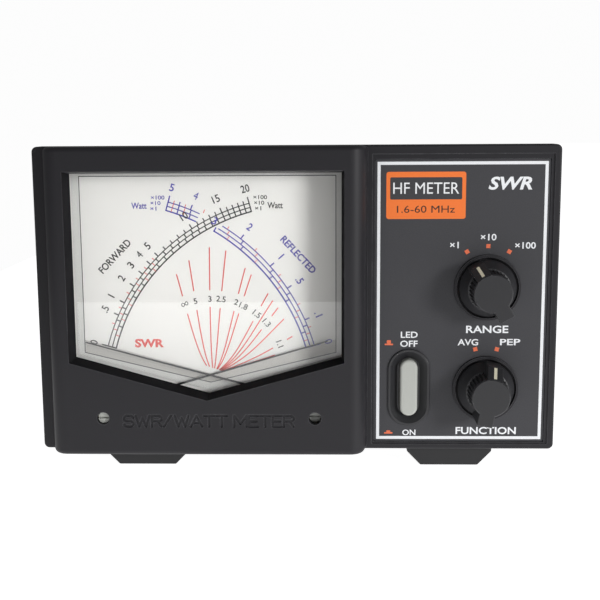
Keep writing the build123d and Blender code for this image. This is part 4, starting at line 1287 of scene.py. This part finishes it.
class METER_OT_movement_finish(bpy.types.Operator):
    """Finish the clear cover, the dial plate, the needles and both movements"""
    bl_idname = "meter.movement_finish"
    bl_label = "Meter Finish"

    def execute(self, context):
        refinish("meter_window", "dial_plate", "meter_housing", "movement_plate", "meter_screws",
                 "lamp_board", "dial_lamps")
        for name in ("forward", "reflected"):
            refinish(*(name + part for part in ("_magnet_yoke", "_bridge", "_hairspring", "_needle", "_coil",
                                                "_staff", "_zero_screw")))
        return {"FINISHED"}


class METER_OT_cabinet_finish(bpy.types.Operator):
    """Finish the cover, pan, back, feet, screws and what stands inside the cabinet"""
    bl_idname = "meter.cabinet_finish"
    bl_label = "Cabinet Finish"

    def execute(self, context):
        refinish(*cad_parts)
        return {"FINISHED"}


# ---------------------------------------------------------------- stage

# The camera is placed in millimetres from the panel and turned in radians. The light and the floor are in
# metres: the first two floor sizes run from the panel, the others are places in the frame.
CAMERA_AT = (12.745, -390.73, 120.05)
CAMERA_YAW, CAMERA_PITCH, CAMERA_ROLL = -0.02887, 0.16193, -0.00599

KEY_AT = (0.87, -0.80, 0.24)
FLOOR_IN_FRONT, FLOOR_TO_LEFT, FLOOR_RIGHT, FLOOR_BACK = 0.39, 0.28, 4, 6


def aim(location, target):
    """A rotation that points an object's -Z axis from one place to another."""
    return (Vector(target) - Vector(location)).to_track_quat("-Z", "Y").to_euler()


def area_light(name, location, target, size, power):
    data = bpy.data.lights.new(name, "AREA")
    data.energy = power
    data.size = size
    lamp = bpy.data.objects.new(name, data)
    lamp.location = location
    lamp.rotation_euler = aim(location, target)
    bpy.context.scene.collection.objects.link(lamp)


class METER_OT_stage(bpy.types.Operator):
    """Lay a pale floor, light it softly and place the camera"""
    bl_idname = "meter.stage"
    bl_label = "Studio"

    def execute(self, context):
        s = context.scene.meter_stage
        scene = context.scene
        bm = bmesh.new()
        front_edge, left_edge = PANEL.y - FLOOR_IN_FRONT, PANEL.x - FLOOR_TO_LEFT
        corners = ((left_edge, front_edge), (FLOOR_RIGHT, front_edge), (FLOOR_RIGHT, FLOOR_BACK),
                   (left_edge, FLOOR_BACK))
        bm.faces.new([bm.verts.new((x, y, 0)) for x, y in corners])
        mesh = bpy.data.meshes.new("floor")
        bm.to_mesh(mesh)
        bm.free()
        pale, _, shader = blank("pale_floor")
        shader.inputs["Base Color"].default_value = (0.84, 0.84, 0.84, 1)
        shader.inputs["Roughness"].default_value = 0.9
        shader.inputs["Specular IOR Level"].default_value = 0.1
        shader.inputs["Emission Color"].default_value = (1, 1, 1, 1)
        shader.inputs["Emission Strength"].default_value = s.floor_glow
        mesh.materials.append(pale)
        floor = bpy.data.objects.new("floor", mesh)
        scene.collection.objects.link(floor)

        world = bpy.data.worlds.new("studio")
        scene.world = world
        world.use_nodes = True
        sky = world.node_tree.nodes["Background"]
        sky.inputs["Color"].default_value = (1, 1, 1, 1)
        seen = world.node_tree.nodes.new("ShaderNodeLightPath").outputs["Is Camera Ray"]
        level = math_node(world.node_tree, "MULTIPLY_ADD", seen, s.backdrop - s.sky, s.sky)
        world.node_tree.links.new(level, sky.inputs["Strength"])

        middle = PANEL + Vector((0, 0, 0.055))
        area_light("key_light", PANEL + Vector(KEY_AT), middle, s.key_size, s.key_power)

        camera_data = bpy.data.cameras.new("camera")
        camera_data.sensor_width = 36.0
        camera_data.lens = s.lens
        camera_data.clip_start = 0.01
        camera = bpy.data.objects.new("camera", camera_data)
        yaw, pitch, roll = CAMERA_YAW, CAMERA_PITCH, CAMERA_ROLL
        ahead = Vector((sin(yaw) * cos(pitch), cos(yaw) * cos(pitch), -sin(pitch)))
        level = Vector((cos(yaw), -sin(yaw), 0))
        up = level.cross(ahead)
        across = level * cos(roll) + up * sin(roll)
        top = up * cos(roll) - level * sin(roll)
        turn = Matrix((across, top, -ahead)).transposed().to_4x4()
        camera.matrix_world = Matrix.Translation(PANEL + Vector(CAMERA_AT) * MM) @ turn
        scene.collection.objects.link(camera)
        scene.camera = camera
        scene.view_settings.view_transform = "Standard"
        return {"FINISHED"}


# ---------------------------------------------------------------- panel and running

OPERATORS = (
    METER_OT_front_finish, METER_OT_knob_finish, METER_OT_movement_finish, METER_OT_cabinet_finish,
    METER_OT_window_painted_shade, METER_OT_dial_border, METER_OT_forward_scale, METER_OT_reflected_scale,
    METER_OT_swr_curves, METER_OT_dial_words, METER_OT_panel_border, METER_OT_panel_legends, METER_OT_badge,
    METER_OT_sockets, METER_OT_rear_legends, METER_OT_stage,
)
SETTINGS = (
    ("meter_dial", MeterDialSettings), ("meter_panel", MeterPanelSettings),
    ("meter_finish", MeterFinishSettings), ("meter_stage", MeterStageSettings),
)


class METER_PT_sidebar(bpy.types.Panel):
    bl_idname = "METER_PT_sidebar"
    bl_label = "Cross-Needle Meter"
    bl_space_type = "VIEW_3D"
    bl_region_type = "UI"
    bl_category = "Meter"

    def draw(self, context):
        for operator in OPERATORS:
            self.layout.operator(operator.bl_idname)


def register():
    for _, settings in SETTINGS:
        bpy.utils.register_class(settings)
    for operator in OPERATORS:
        bpy.utils.register_class(operator)
    bpy.utils.register_class(METER_PT_sidebar)
    for name, settings in SETTINGS:
        setattr(bpy.types.Scene, name, PointerProperty(type=settings))


def unregister():
    for name, _ in SETTINGS:
        delattr(bpy.types.Scene, name)
    bpy.utils.unregister_class(METER_PT_sidebar)
    for operator in reversed(OPERATORS):
        bpy.utils.unregister_class(operator)
    for _, settings in reversed(SETTINGS):
        bpy.utils.unregister_class(settings)


def main():
    register()
    for operator in OPERATORS:
        group, name = operator.bl_idname.split(".")
        getattr(getattr(bpy.ops, group), name)()


if __name__ == "__main__":
    main()
